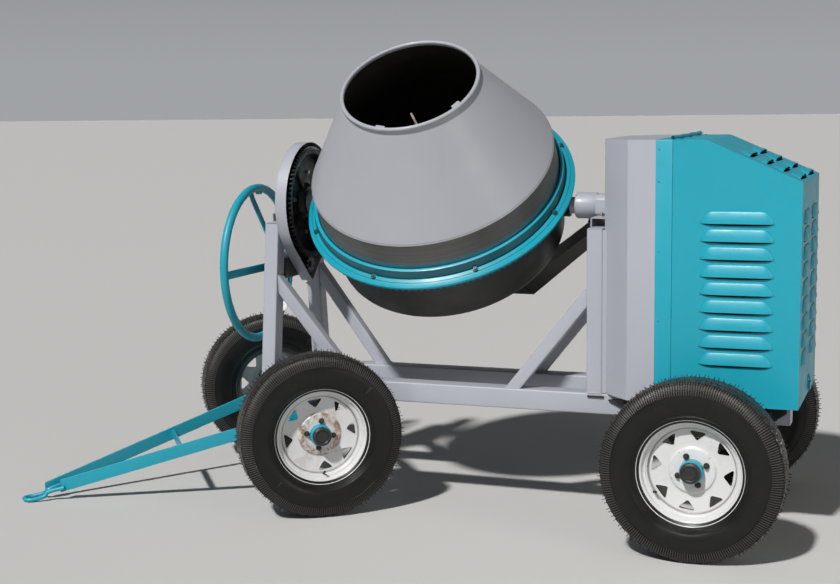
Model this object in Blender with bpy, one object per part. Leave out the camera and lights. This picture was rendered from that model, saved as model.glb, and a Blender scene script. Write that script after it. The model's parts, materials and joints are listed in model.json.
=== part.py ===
"""Towable concrete mixer with a tilting drum, a hooded engine and a steered front axle.

Metres, +Z up.  +X runs from the towing eye to the engine hood, +Y is the far side.
Lengths along X are measured from the rear axle; the empty "machine" then moves the
whole model, so that the origin lies on the ground, midway along its length.
"""

import math

import bmesh
import bpy
from mathutils import Vector

# ---------------------------------------------------------------- driving dimensions
GAP = 0.0003                    # between pieces that touch

# running gear
WHEELBASE = 1.692               # kingpin to rear axle
STEER_ANGLE = math.radians(35.2)    # steering lock on which the machine is parked
TYRE_RADIUS = 0.3053            # to the flat under each tread segment
WHEEL_SEGMENTS = 24
FRONT_TRACK_HALF = 0.512        # kingpin to the middle of a front tyre
REAR_TRACK_HALF = 0.534
RIM_LIP_RADIUS = 0.182
RIM_HALF_WIDTH = 0.0635
DISC_FRONT = 0.0165             # front of the wheel disc, from the tyre's middle
AXLE_SIZE = 0.060
SPINDLE_RADIUS = 0.020

# chassis
RAIL_OUTER = 0.198
RAIL_SIZE = 0.078
RAIL_TOP = 0.4714
RAIL_BOTTOM = RAIL_TOP - 0.0742
RAIL_END = 0.270
BOLSTER_LEFT, BOLSTER_RIGHT = -1.706, -1.636
BOLSTER_HALF = 0.281
TUBE_WALL = 0.004

# towers
TRUNNION_Z = 1.1326
TOWER_TOP = 1.062
TOP_BEAM_HEIGHT = 0.038
TOP_BEAM_HALF = 0.140
LEFT_POST = (-1.700, -1.6440)   # X span of the handwheel tower
RIGHT_POST = (-0.441, -0.3835)  # X span of the drive tower
POST_DEPTH = 0.066
LEFT_POST_TOP_OUTER = 0.206     # the handwheel tower's posts splay outwards
LEFT_POST_FOOT_OUTER = 0.274

# drum, along its own axis from the trunnion axis
DRUM_X = -1.0467
DRUM_ELEVATION = math.radians(51.8)
DRUM_SEGMENTS = 32
MOUTH_HEIGHT, MOUTH_RADIUS = 0.565, 0.2455
SHOULDER_HEIGHT, SHOULDER_RADIUS = 0.215, 0.4600
SEAM_RADIUS = 0.4650
BOWL_WALL_END, BOWL_WALL_RADIUS = -0.155, 0.4410
BOWL_DEPTH = -0.330
SHELL = 0.004
FLANGE_RADIUS = 0.5140
FLANGE_EDGE = 0.056

# gears
RING_TEETH = 96
RING_PITCH_RADIUS = 0.480
RING_FACE = (0.4605, 0.5055)
DRIVE_TEETH = 8
DRIVE_PITCH_RADIUS = RING_PITCH_RADIUS * DRIVE_TEETH / RING_TEETH
TILT_TEETH = 72
TILT_PINION_TEETH = 12
TILT_MODULE = 0.0059
TILT_GEAR = (-1.636, -1.588)    # X span
PINION_Z = TRUNNION_Z - TILT_MODULE * (TILT_TEETH + TILT_PINION_TEETH) / 2

# gear guard
GUARD = (-1.6425, -1.5970)      # X span
GUARD_RADIUS = 0.2345
GUARD_TIP_Z = 0.8170
SHEET = 0.003

# handwheel
HANDWHEEL_X = -1.834
HANDWHEEL_HUB_X = -1.755
HANDWHEEL_RADIUS = 0.300
HANDWHEEL_TUBE = 0.0164
SPOKE_ANGLES = (14, 104, 194, 284)

# housing and hood
HOUSING_HALF = 0.2875
HOUSING_LEFT = -0.3796
HOUSING_CHAMFER = 0.1034
HOOD_SEAM = -0.1233
HOOD_SLOPE_START = -0.0120
HOOD_END = 0.3075
HOUSING_BOTTOM = 0.4726
HOUSING_TOP = 1.3815
HOOD_END_TOP = 1.2401
LOUVRE_DEPTH = 0.011
LOUVRE_HEIGHT = 0.046
LOUVRE_PITCH = 0.0612

# belt drive
PULLEYS = (-0.345, -0.305)      # X span
DRIVEN_PULLEY_RADIUS = 0.170
ENGINE_PULLEY_RADIUS = 0.060
CRANK_Z = 0.740
BELT_THICKNESS = 0.010

# towing bar
DRAWBAR_PIVOT = 0.075           # ahead of the front axle
DRAWBAR_PIVOT_Z = 0.3180
DRAWBAR_HALF = 0.272
DRAWBAR_REACH = 0.885           # pivot to the end of the bars
BAR_START = 0.014               # behind the pivot
BAR_END_HALF = 0.0215
BAR_HEIGHT, BAR_THICKNESS = 0.048, 0.008
BAR_END_Z = 0.0480
EYE_ROD = 0.008
EYE_TIP = 1.083                 # kingpin to the tip of the eye

MACHINE_X = 1.1321                      # half of the length ahead of the rear axle less half of that behind

X, Y, Z = Vector((1, 0, 0)), Vector((0, 1, 0)), Vector((0, 0, 1))


# ---------------------------------------------------------------- scene and materials
def clear_scene():
    for obj in list(bpy.data.objects):
        bpy.data.objects.remove(obj)


def paint(name, color, roughness, metallic=0.0):
    material = bpy.data.materials.new(name)
    material.use_nodes = True
    shader = material.node_tree.nodes["Principled BSDF"]
    shader.inputs["Base Color"].default_value = (*color, 1.0)
    shader.inputs["Roughness"].default_value = roughness
    shader.inputs["Metallic"].default_value = metallic
    return material


def make_materials():
    return {
        "grey_paint": paint("grey_paint", (0.40, 0.42, 0.47), 0.45),
        "teal_paint": paint("teal_paint", (0.02, 0.36, 0.42), 0.35),
        "black_paint": paint("black_paint", (0.02, 0.02, 0.02), 0.50),
        "white_paint": paint("white_paint", (0.75, 0.75, 0.73), 0.40),
        "cast_iron": paint("cast_iron", (0.05, 0.048, 0.045), 0.60, 0.6),
        "bare_steel": paint("bare_steel", (0.25, 0.25, 0.26), 0.35, 1.0),
        "tyre_rubber": paint("tyre_rubber", (0.02, 0.02, 0.02), 0.75),
        "belt_rubber": paint("belt_rubber", (0.03, 0.03, 0.03), 0.80),
    }


def make_empty(name, location, parent=None, rotation=(0, 0, 0)):
    empty = bpy.data.objects.new(name, None)
    bpy.context.scene.collection.objects.link(empty)
    empty.parent = parent
    empty.location = location
    empty.rotation_euler = rotation
    return empty


def make_object(name, bm, material, parent, location=(0, 0, 0), rotation=(0, 0, 0), smooth=False):
    bmesh.ops.recalc_face_normals(bm, faces=bm.faces)
    mesh = bpy.data.meshes.new(name)
    bm.to_mesh(mesh)
    bm.free()
    mesh.materials.append(material)
    if smooth:
        mesh.shade_smooth()
        mesh.set_sharp_from_angle(angle=math.radians(35))
    obj = bpy.data.objects.new(name, mesh)
    bpy.context.scene.collection.objects.link(obj)
    obj.parent = parent
    obj.location = location
    obj.rotation_euler = rotation
    return obj


def combine(target, tool, operation):
    """Adds a Boolean of a hidden tool, which shares the target's parent."""
    tool.hide_render = True
    tool.display_type = "WIRE"
    modifier = target.modifiers.new(operation.lower(), "BOOLEAN")
    modifier.operation = operation
    modifier.solver = "EXACT"
    modifier.object = tool


# ---------------------------------------------------------------- solids
def skin_loops(bm, loops, closed_path):
    """Quads between neighbouring loops of equal length; a loop of one point is a pole."""
    pairs = list(zip(loops, loops[1:]))
    if closed_path:
        pairs.append((loops[-1], loops[0]))
    for a, b in pairs:
        count = max(len(a), len(b))
        if count == 1:
            continue
        for i in range(count):
            j = (i + 1) % count
            if len(a) == 1:
                bm.faces.new((a[0], b[i], b[j]))
            elif len(b) == 1:
                bm.faces.new((a[i], a[j], b[0]))
            else:
                bm.faces.new((a[i], a[j], b[j], b[i]))


def lathe(profile, segments, closed=True):
    """Turns (radius, height) points about +Z.  The flats face the X and Y axes."""
    bm = bmesh.new()
    loops = []
    for radius, height in profile:
        if radius == 0:
            loops.append([bm.verts.new((0, 0, height))])
            continue
        angles = [(i + 0.5) * 2 * math.pi / segments for i in range(segments)]
        loops.append([bm.verts.new((radius * math.cos(a), radius * math.sin(a), height)) for a in angles])
    skin_loops(bm, loops, closed)
    return bm


def prism(outline, low, high, plane="XY"):
    """Extrudes a 2-D outline from low to high along the plane's normal."""
    order = {"XY": (0, 1, 2), "XZ": (0, 2, 1), "YZ": (1, 2, 0)}[plane]
    bm = bmesh.new()
    ends = []
    for level in (low, high):
        verts = []
        for u, v in outline:
            point = [0.0, 0.0, 0.0]
            point[order[0]], point[order[1]], point[order[2]] = u, v, level
            verts.append(bm.verts.new(point))
        ends.append(verts)
        bm.faces.new(verts)
    skin_loops(bm, ends, False)
    return bm


def block(low, high):
    (x0, y0, z0), (x1, y1, z1) = low, high
    return prism([(x0, y0), (x1, y0), (x1, y1), (x0, y1)], z0, z1)


def cylinder(radius, low, high, segments=16, axis="Z"):
    """A solid round bar along X, Y or Z."""
    profile = [(0, low), (radius, low), (radius, high), (0, high)]
    bm = lathe(profile, segments, closed=False)
    turn = {"Z": None, "X": (Y, math.pi / 2), "Y": (X, -math.pi / 2)}[axis]
    if turn:
        rotate(bm, turn[1], turn[0])
    return bm


def rotate(bm, angle, axis):
    cos, sin = math.cos(angle), math.sin(angle)
    for vert in bm.verts:
        p = vert.co
        vert.co = p * cos + axis.cross(p) * sin + axis * axis.dot(p) * (1 - cos)


def move(bm, offset):
    for vert in bm.verts:
        vert.co += Vector(offset)
    return bm


def beam(start, end, width, depth, start_plane, end_plane, width_axis=X, wall=TUBE_WALL):
    """A straight rectangular tube, cut off by two planes given as (point, normal)."""
    along = (Vector(end) - Vector(start)).normalized()
    side = (Vector(width_axis) - along * along.dot(Vector(width_axis))).normalized()
    other = along.cross(side)
    corners = [(-1, -1), (1, -1), (1, 1), (-1, 1)]
    bm = bmesh.new()

    def loop(inset, plane):
        point, normal = Vector(plane[0]), Vector(plane[1])
        verts = []
        for a, b in corners:
            origin = Vector(start) + side * a * (width / 2 - inset) + other * b * (depth / 2 - inset)
            reach = (point - origin).dot(normal) / along.dot(normal)
            verts.append(bm.verts.new(origin + along * reach))
        return verts

    outer = [loop(0, start_plane), loop(0, end_plane)]
    if wall:
        inner = [loop(wall, end_plane), loop(wall, start_plane)]
        skin_loops(bm, outer + inner, True)
    else:
        skin_loops(bm, outer, False)
        bm.faces.new(outer[0])
        bm.faces.new(outer[1])
    return bm


def gear_outline(teeth, pitch_radius, addendum, dedendum, tip_share, tooth_angle):
    """Straight-sided teeth with flat tips and V roots; one tooth is centred on tooth_angle."""
    pitch = 2 * math.pi / teeth
    points = []
    for i in range(teeth):
        middle = tooth_angle + i * pitch
        for share, radius in (
            (-0.5, pitch_radius - dedendum),
            (-tip_share / 2, pitch_radius + addendum),
            (tip_share / 2, pitch_radius + addendum),
        ):
            angle = middle + share * pitch
            points.append((radius * math.cos(angle), radius * math.sin(angle)))
    return points


def cone_radius(height):
    """Outer radius of the drum's cone at a height along its axis."""
    share = (height - SHOULDER_HEIGHT) / (MOUTH_HEIGHT - SHOULDER_HEIGHT)
    return SHOULDER_RADIUS + (MOUTH_RADIUS - SHOULDER_RADIUS) * share


# ---------------------------------------------------------------- wheels
def tyre_profile():
    """Open C section: (radius, offset from the middle), outside then inside."""
    r = TYRE_RADIUS / math.cos(math.pi / WHEEL_SEGMENTS)
    half = [
        (r, 0.045), (r - 0.012, 0.066), (r - 0.042, 0.0815), (RIM_LIP_RADIUS + 0.004, 0.0640), (0.1680, 0.0580),
    ]
    inside = [(r - 0.022, 0.0600)]
    one_side = half + inside
    return one_side + [(radius, -offset) for radius, offset in reversed(one_side)]


def rim_profile():
    """Drop-centre rim and its wheel disc, as one section."""
    return [
        (RIM_LIP_RADIUS, RIM_HALF_WIDTH), (0.1650, 0.0575), (0.1480, 0.0300), (0.1480, -0.0440),
        (0.1650, -0.0575), (RIM_LIP_RADIUS, -RIM_HALF_WIDTH), (0.1610, -RIM_HALF_WIDTH),
        (0.1440, -0.0430), (0.1440, 0.0080), (0.0365, 0.0110), (0.0365, DISC_FRONT),
        (0.1440, 0.0135), (0.1440, 0.0290), (0.1610, RIM_HALF_WIDTH),
    ]


def hub_profile():
    """Hub with its flange behind the wheel disc and its greased cap in front."""
    return [
        (0, 0.0660), (0.0270, 0.0640), (0.0350, 0.0450), (0.0350, 0.0107), (0.0680, 0.0080),
        (0.0680, -0.0010), (0.0430, -0.0520), (SPINDLE_RADIUS + 0.001, -0.0520),
        (SPINDLE_RADIUS + 0.001, 0.0360), (0, 0.0360),
    ]


def add_window_cutters(name, parent, location, rotation):
    bm = bmesh.new()
    for i in range(8):
        turn = (i + 0.5) * math.pi / 4
        corners = []
        for radius, across in ((0.104, 0.0), (0.1335, 0.028), (0.1335, -0.028)):
            x = radius * math.cos(turn) - across * math.sin(turn)
            y = radius * math.sin(turn) + across * math.cos(turn)
            corners.append((x, y))
        ends = [[bm.verts.new((x, y, level)) for x, y in corners] for level in (-0.02, 0.04)]
        bm.faces.new(ends[0])
        bm.faces.new(ends[1])
        skin_loops(bm, ends, False)
    return make_object(name, bm, None, parent, location, rotation)


def make_wheel(place, parent, center, outward, paints):
    """outward is -1 on the near side and +1 on the far side."""
    rotation = (-outward * math.pi / 2, 0, 0)
    make_object(f"tyre_{place}", lathe(tyre_profile(), WHEEL_SEGMENTS), paints["tyre_rubber"],
                parent, center, rotation, smooth=True)
    rim = make_object(f"rim_{place}", lathe(rim_profile(), WHEEL_SEGMENTS), paints["white_paint"],
                      parent, center, rotation, smooth=True)
    windows = add_window_cutters(f"rim_windows_{place}", parent, center, rotation)
    combine(rim, windows, "DIFFERENCE")
    make_object(f"hub_{place}", lathe(hub_profile(), 12, closed=False), paints["teal_paint"],
                parent, center, rotation, smooth=True)


def axle_outline(half, center_z):
    """Beam with a spindle at each end, as (y, z) of its upper half, from end to end."""
    beam_half = half - 0.0590
    tip = half + 0.0300
    return beam_half, tip, center_z


def make_axle(name, half, parent, material):
    """Square beam along Y at axle height, with a round spindle at each end."""
    beam_half, tip, z = axle_outline(half, TYRE_RADIUS)
    s = AXLE_SIZE / 2
    axle = make_object(name, block((-s, -beam_half, z - s), (s, beam_half, z + s)), material, parent)
    spindle = cylinder(SPINDLE_RADIUS, -tip, tip, 16, "Y")
    tool = make_object(f"{name}_spindles", move(spindle, (0, 0, z)), None, parent)
    combine(axle, tool, "UNION")
    return axle


# ---------------------------------------------------------------- chassis
def make_chassis(machine, paints):
    grey, black = paints["grey_paint"], paints["black_paint"]
    middle_z = (RAIL_TOP + RAIL_BOTTOM) / 2
    for side, name in ((-1, "rail_near"), (1, "rail_far")):
        y = side * (RAIL_OUTER - RAIL_SIZE / 2)
        start, end = (BOLSTER_RIGHT + GAP, y, middle_z), (RAIL_END, y, middle_z)
        rail = beam(start, end, RAIL_SIZE, RAIL_TOP - RAIL_BOTTOM, (start, X), (end, X), Y)
        make_object(name, rail, grey, machine)

    middle_x = (BOLSTER_LEFT + BOLSTER_RIGHT) / 2
    start, end = (middle_x, -BOLSTER_HALF, middle_z), (middle_x, BOLSTER_HALF, middle_z)
    bolster = beam(start, end, BOLSTER_RIGHT - BOLSTER_LEFT, RAIL_TOP - RAIL_BOTTOM, (start, Y), (end, Y))
    make_object("front_bolster", bolster, grey, machine)

    plate = [(0.030, 0.376), (0.105, 0.376), (0.105, RAIL_BOTTOM - GAP), (0.030, RAIL_BOTTOM - GAP)]
    make_object("turntable_plate", lathe(plate, 24), grey, machine, (-WHEELBASE, 0, 0), smooth=True)

    axle = make_axle("rear_axle", REAR_TRACK_HALF, machine, black)
    bracket = [(-0.372, 0.455), (-0.055, 0.300), (0.055, 0.300), (0.262, 0.440), (0.262, 0.455)]
    for side in (-1, 1):
        inner, outer = side * (RAIL_OUTER + GAP), side * (RAIL_OUTER + 0.008)
        tool = make_object(f"axle_bracket_{side}", prism(bracket, min(inner, outer), max(inner, outer), "XZ"),
                           None, machine)
        combine(axle, tool, "UNION")


def make_towers(machine, paints):
    grey = paints["grey_paint"]
    foot, top = RAIL_TOP + GAP, TOWER_TOP
    foot_plane, top_plane = ((0, 0, foot), Z), ((0, 0, top), Z)
    left_mid, right_mid = sum(LEFT_POST) / 2, sum(RIGHT_POST) / 2
    half = POST_DEPTH / 2
    for side, word in ((-1, "near"), (1, "far")):
        low = (left_mid, side * (LEFT_POST_FOOT_OUTER - half), foot)
        high = (left_mid, side * (LEFT_POST_TOP_OUTER - half), top)
        post = beam(low, high, LEFT_POST[1] - LEFT_POST[0], POST_DEPTH, foot_plane, top_plane)
        make_object(f"left_post_{word}", post, grey, machine)

        low = (right_mid, side * (RAIL_OUTER - half), foot)
        high = (right_mid, side * (RAIL_OUTER - half), top)
        post = beam(low, high, RIGHT_POST[1] - RIGHT_POST[0], POST_DEPTH, foot_plane, top_plane)
        make_object(f"right_post_{word}", post, grey, machine)

        upper = (LEFT_POST[1] + GAP, side * 0.198, 0.831)
        lower = (-1.3675, side * 0.172, foot)
        brace = beam(lower, upper, 0.046, 0.046, foot_plane, (upper, X), Y)
        make_object(f"left_brace_{word}", brace, grey, machine)

        upper = (RIGHT_POST[0] - GAP, side * 0.172, 0.819)
        lower = (-0.7185, side * 0.172, foot)
        brace = beam(lower, upper, 0.046, 0.046, foot_plane, (upper, X), Y)
        make_object(f"right_brace_{word}", brace, grey, machine)

    beam_z = top + GAP + TOP_BEAM_HEIGHT / 2
    for name, span in (("left_top_beam", LEFT_POST), ("right_top_beam", RIGHT_POST)):
        middle = sum(span) / 2
        start, end = (middle, -TOP_BEAM_HALF, beam_z), (middle, TOP_BEAM_HALF, beam_z)
        tube = beam(start, end, span[1] - span[0], TOP_BEAM_HEIGHT, (start, Y), (end, Y))
        make_object(name, tube, grey, machine)

    base = top + TOP_BEAM_HEIGHT + 2 * GAP
    for name, low_x, high_x, bore in (
        ("left_bearing_block", LEFT_POST[0], LEFT_POST[1], 0.0258),
        ("right_bearing_block", -0.4460, RIGHT_POST[1], 0.0308),
    ):
        body = make_object(name, block((low_x, -0.050, base), (high_x, 0.050, 1.1755)), grey, machine)
        hole = move(cylinder(bore, low_x - 0.01, high_x + 0.01, 20, "X"), (0, 0, TRUNNION_Z))
        combine(body, make_object(f"{name}_bore", hole, None, machine), "DIFFERENCE")

    plate = block((LEFT_POST[0], -0.150, PINION_Z - 0.040), (LEFT_POST[1], 0.150, PINION_Z + 0.040))
    carrier = make_object("pinion_bearing", plate, grey, machine)
    hole = move(cylinder(0.0140, LEFT_POST[0] - 0.01, LEFT_POST[1] + 0.01, 16, "X"), (0, 0, PINION_Z))
    combine(carrier, make_object("pinion_bearing_bore", hole, None, machine), "DIFFERENCE")


def guard_outline(radius, tip_z):
    """Circle about the tilt axis with two tangents down to a tip, as (y, z)."""
    drop = TRUNNION_Z - tip_z
    touch = math.acos(radius / drop)        # between straight down and the tangent points
    steps = 22
    points = [(0.0, tip_z)]
    for i in range(steps + 1):
        angle = -math.pi / 2 + touch + i * (2 * math.pi - 2 * touch) / steps
        points.append((radius * math.cos(angle), TRUNNION_Z + radius * math.sin(angle)))
    return points


def make_guard(machine, paints):
    outline = guard_outline(GUARD_RADIUS, GUARD_TIP_Z)
    guard = make_object("gear_guard", prism(outline, *GUARD, "YZ"), paints["grey_paint"], machine)
    inside = guard_outline(GUARD_RADIUS - SHEET, GUARD_TIP_Z + 0.0045)
    tool = make_object("guard_inside", prism(inside, GUARD[0] + SHEET, GUARD[1] + 0.01, "YZ"), None, machine)
    combine(guard, tool, "DIFFERENCE")
    for name, radius, z in (("guard_hole_upper", 0.032, TRUNNION_Z), ("guard_hole_lower", 0.018, PINION_Z)):
        hole = move(cylinder(radius, GUARD[0] - 0.01, GUARD[0] + 0.01, 16, "X"), (0, 0, z))
        combine(guard, make_object(name, hole, None, machine), "DIFFERENCE")


# ---------------------------------------------------------------- engine end
def housing_plan(inset, right):
    """Plan outline of the belt housing, with its two chamfered corners."""
    half = HOUSING_HALF - inset
    left = HOUSING_LEFT + inset
    cut = HOUSING_CHAMFER - inset * (2 - math.sqrt(2))
    return [(right, -half), (right, half), (left + cut, half), (left, half - cut), (left, cut - half), (left + cut, -half)]


def hood_side(inset, left, bottom):
    """Side outline of the hood, as (x, z)."""
    lean = math.atan2(HOUSING_TOP - HOOD_END_TOP, HOOD_END - HOOD_SLOPE_START)
    top = HOUSING_TOP - inset
    start = HOOD_SLOPE_START - inset * math.tan(lean / 2)
    end = HOOD_END - inset
    end_top = top - (end - start) * math.tan(lean)
    return [(left, bottom), (end, bottom), (end, end_top), (start, top), (left, top)]


def add_louvre(bm, center, along, up, out, length):
    """A pressed louvre: flush at its top edge, open at its lower edge."""
    center, along, up, out = Vector(center), Vector(along), Vector(up), Vector(out)
    ends = []
    for sign in (-1, 1):
        top = center + along * sign * length / 2 + up * LOUVRE_HEIGHT / 2 - out * 0.001
        lip = center + along * sign * (length / 2 - 0.010) - up * LOUVRE_HEIGHT / 2 + out * LOUVRE_DEPTH
        foot = center + along * sign * length / 2 - up * LOUVRE_HEIGHT / 2 - out * 0.001
        ends.append([bm.verts.new(p) for p in (top, lip, foot)])
    bm.faces.new(ends[0])
    bm.faces.new(ends[1])
    skin_loops(bm, ends, False)


def make_louvres(machine):
    bm = bmesh.new()
    side_x, side_top = 0.0960, 1.1120
    for i in range(9):
        z = side_top - i * LOUVRE_PITCH
        for side in (-1, 1):
            add_louvre(bm, (side_x, side * HOUSING_HALF, z), X, Z, (0, side, 0), 0.236)
            add_louvre(bm, (HOOD_END, side * 0.128, z), Y, Z, X, 0.190)
    run, fall = HOOD_END - HOOD_SLOPE_START, HOUSING_TOP - HOOD_END_TOP
    slope = Vector((run, 0, -fall))
    down, out = slope.normalized(), Vector((fall, 0, run)).normalized()
    for i in range(4):
        middle = Vector((HOOD_SLOPE_START, 0, HOUSING_TOP)) + slope * (i + 0.6) / 4.2
        for side in (-1, 1):
            add_louvre(bm, middle + Y * side * 0.128, Y, -down, out, 0.190)
    return make_object("hood_louvres", bm, None, machine)


def make_housing(machine, paints):
    black, steel, iron = paints["black_paint"], paints["bare_steel"], paints["cast_iron"]
    housing = make_object("belt_housing", prism(housing_plan(0, HOOD_SEAM), HOUSING_BOTTOM, HOUSING_TOP),
                          paints["grey_paint"], machine)
    inside = prism(housing_plan(SHEET, HOOD_SEAM + 0.02), HOUSING_BOTTOM - 0.02, HOUSING_TOP - SHEET)
    combine(housing, make_object("housing_inside", inside, None, machine), "DIFFERENCE")
    hole = move(cylinder(0.034, HOUSING_LEFT - 0.01, HOUSING_LEFT + 0.01, 16, "X"), (0, 0, TRUNNION_Z))
    combine(housing, make_object("housing_shaft_hole", hole, None, machine), "DIFFERENCE")

    bed = prism(housing_plan(SHEET + 0.001, 0.3020), RAIL_TOP + GAP, RAIL_TOP + 0.008)
    make_object("engine_bed", bed, black, machine)
    base = RAIL_TOP + 0.008 + GAP

    crankcase = [(-0.150, base), (0.150, base), (0.150, base + 0.03), (0.125, 0.56), (0.125, 0.82),
                 (0.085, 0.86), (-0.085, 0.86), (-0.125, 0.82), (-0.125, 0.56), (-0.150, base + 0.03)]
    engine = make_object("engine_block", prism(crankcase, -0.060, 0.160, "YZ"), iron, machine)
    fins = [(0, 0.85)]
    for i in range(4):
        z = 0.872 + i * 0.054
        fins += [(0.062, z), (0.088, z), (0.088, z + 0.024), (0.062, z + 0.024)]
    fins += [(0.062, 1.085), (0.075, 1.085), (0.075, 1.110), (0, 1.110)]
    barrel = lathe(fins, 12, closed=False)
    combine(engine, make_object("engine_cylinder", barrel, None, machine, (0.040, 0, 0)), "UNION")
    bore = move(cylinder(0.0195, -0.10, 0.02, 16, "X"), (0, 0, CRANK_Z))
    combine(engine, make_object("crank_bore", bore, None, machine), "DIFFERENCE")

    tank_outline = [(-0.050, 1.1105), (0.190, 1.1105), (0.205, 1.125), (0.205, 1.215), (0.190, 1.230),
                    (-0.050, 1.230), (-0.065, 1.215), (-0.065, 1.125)]
    make_object("fuel_tank", prism(tank_outline, -0.170, 0.170, "XZ"), paints["teal_paint"], machine)
    silencer = [(0, -0.150), (0.040, -0.150), (0.050, -0.140), (0.050, 0.140), (0.040, 0.150), (0, 0.150)]
    muffler = make_object("muffler", lathe(silencer, 16, closed=False), steel, machine,
                          (0.215, 0, 0.980), (math.pi / 2, 0, 0), smooth=True)
    pipe = cylinder(0.016, 0.1285, 0.20, 12, "X")
    combine(muffler, make_object("exhaust_pipe", pipe, None, machine, (0, 0, 0.980)), "UNION")

    pin = cylinder(0.006, -0.270, 0.270, 12, "Y")
    make_object("hood_hinge_pin", pin, steel, machine, (HOOD_SEAM, 0, HOUSING_TOP + 0.0065), smooth=True)

    hinge = make_empty("hood_hinge", (HOOD_SEAM, 0, HOUSING_TOP + 0.0065), machine)
    back = (-HOOD_SEAM, 0, -HOUSING_TOP - 0.0065)
    left = HOOD_SEAM + 0.001
    hood = prism(hood_side(0, left, HOUSING_BOTTOM), -HOUSING_HALF, HOUSING_HALF, "XZ")
    hood = make_object("hood", hood, paints["teal_paint"], hinge, back)
    room = prism(hood_side(SHEET, left - 0.02, HOUSING_BOTTOM - 0.02), SHEET - HOUSING_HALF, HOUSING_HALF - SHEET, "XZ")
    combine(hood, make_object("hood_inside", room, None, machine), "DIFFERENCE")
    combine(hood, make_louvres(machine), "UNION")


def make_belt_drive(machine, yoke, paints):
    iron = paints["cast_iron"]
    low, high = PULLEYS
    middle = (low + high) / 2
    crank = make_empty("crank_axis", (middle, 0, CRANK_Z), machine)
    pulley = cylinder(ENGINE_PULLEY_RADIUS, low - middle, high - middle, 24, "X")
    pulley = make_object("engine_pulley", pulley, iron, crank, smooth=True)
    shaft = cylinder(0.018, low - middle - 0.005, -middle, 16, "X")
    combine(pulley, make_object("crank_shaft", shaft, None, crank), "UNION")

    wheel = lathe([(0.0182, low), (DRIVEN_PULLEY_RADIUS, low), (DRIVEN_PULLEY_RADIUS, high), (0.0182, high)], 24)
    rotate(wheel, math.pi / 2, Y)
    make_object("driven_pulley", wheel, iron, yoke, (-DRUM_X, 0, 0), smooth=True)
    make_object("drive_belt", belt_loop(low + 0.004, high - 0.004), paints["belt_rubber"], machine, smooth=True)


def belt_loop(low, high):
    """Open belt around both pulleys, as one flat loop."""
    distance = TRUNNION_Z - CRANK_Z
    wrap = math.asin((DRIVEN_PULLEY_RADIUS - ENGINE_PULLEY_RADIUS) / distance)
    bm = bmesh.new()
    loops = []
    for x, extra in ((low, 0.0008), (high, 0.0008), (high, BELT_THICKNESS), (low, BELT_THICKNESS)):
        verts = []
        for radius, z, start, end, steps in (
            (DRIVEN_PULLEY_RADIUS, TRUNNION_Z, -wrap, math.pi + wrap, 16),
            (ENGINE_PULLEY_RADIUS, CRANK_Z, math.pi + wrap, 2 * math.pi - wrap, 8),
        ):
            for i in range(steps + 1):
                angle = start + (end - start) * i / steps
                grown = (radius + extra) / math.cos((end - start) / steps / 2)
                verts.append(bm.verts.new((x, grown * math.cos(angle), z + grown * math.sin(angle))))
        loops.append(verts)
    skin_loops(bm, loops, True)
    return bm


# ---------------------------------------------------------------- front axle and towing bar
def make_front_axle(machine, paints):
    teal = paints["teal_paint"]
    steer = make_empty("steering", (-WHEELBASE, 0, 0), machine, (0, 0, STEER_ANGLE))
    axle = make_axle("front_axle", FRONT_TRACK_HALF, steer, teal)
    top = TYRE_RADIUS + AXLE_SIZE / 2
    for side in (-1, 1):
        ear = block((-DRAWBAR_PIVOT - 0.022, side * DRAWBAR_HALF - 0.006 + side * 0.0115, DRAWBAR_PIVOT_Z - 0.024),
                    (0.0, side * DRAWBAR_HALF + 0.006 + side * 0.0115, DRAWBAR_PIVOT_Z + 0.010))
        combine(axle, make_object(f"drawbar_ear_{side}", ear, None, steer), "UNION")
    kingpin = [(0, top + GAP), (0.105, top + GAP), (0.105, 0.3755), (0.0290, 0.3755),
               (0.0290, RAIL_BOTTOM - 2 * GAP), (0, RAIL_BOTTOM - 2 * GAP)]
    make_object("kingpin", lathe(kingpin, 24, closed=False), teal, steer, smooth=True)
    make_wheel("front_near", steer, (0, -FRONT_TRACK_HALF, TYRE_RADIUS), -1, paints)
    make_wheel("front_far", steer, (0, FRONT_TRACK_HALF, TYRE_RADIUS), 1, paints)
    return steer


def bar_inside(x):
    """Half the clear distance between the towing bars at x in the drawbar's frame."""
    slant = (DRAWBAR_HALF - BAR_END_HALF) / (BAR_START + DRAWBAR_REACH)
    middle = DRAWBAR_HALF - slant * (BAR_START - x)
    return middle - BAR_THICKNESS / 2 * math.sqrt(1 + slant * slant) - GAP


def make_drawbar(steer, paints):
    """Towing bar in its own frame: -X points ahead, the pivot axis is the local Y axis."""
    teal = paints["teal_paint"]
    pivot = make_empty("drawbar_pivot", (-DRAWBAR_PIVOT, 0, DRAWBAR_PIVOT_Z), steer)
    drop = BAR_END_Z - DRAWBAR_PIVOT_Z
    for side, word in ((-1, "near"), (1, "far")):
        start = (BAR_START, side * DRAWBAR_HALF, 0.0)
        end = (-DRAWBAR_REACH, side * BAR_END_HALF, drop)
        across = (Vector(end) - Vector(start)).cross(Z)
        bar = beam(start, end, BAR_THICKNESS, BAR_HEIGHT, (start, X), (end, X), across, wall=0)
        make_object(f"drawbar_arm_{word}", bar, teal, pivot)

    front, back = -0.400, -0.392
    narrow, wide = bar_inside(front), bar_inside(back)
    level = drop * (BAR_START - front) / (BAR_START + DRAWBAR_REACH)
    outline = [(front, -narrow), (back, -wide), (back, wide), (front, narrow)]
    make_object("drawbar_cross", prism(outline, level - 0.016, level + 0.016), teal, pivot)

    ground = EYE_ROD + 0.001 - DRAWBAR_PIVOT_Z
    tip = EYE_TIP - DRAWBAR_PIVOT
    make_object("towing_eye", eye_loop(tip, ground, drop), teal, pivot, smooth=True)


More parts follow.
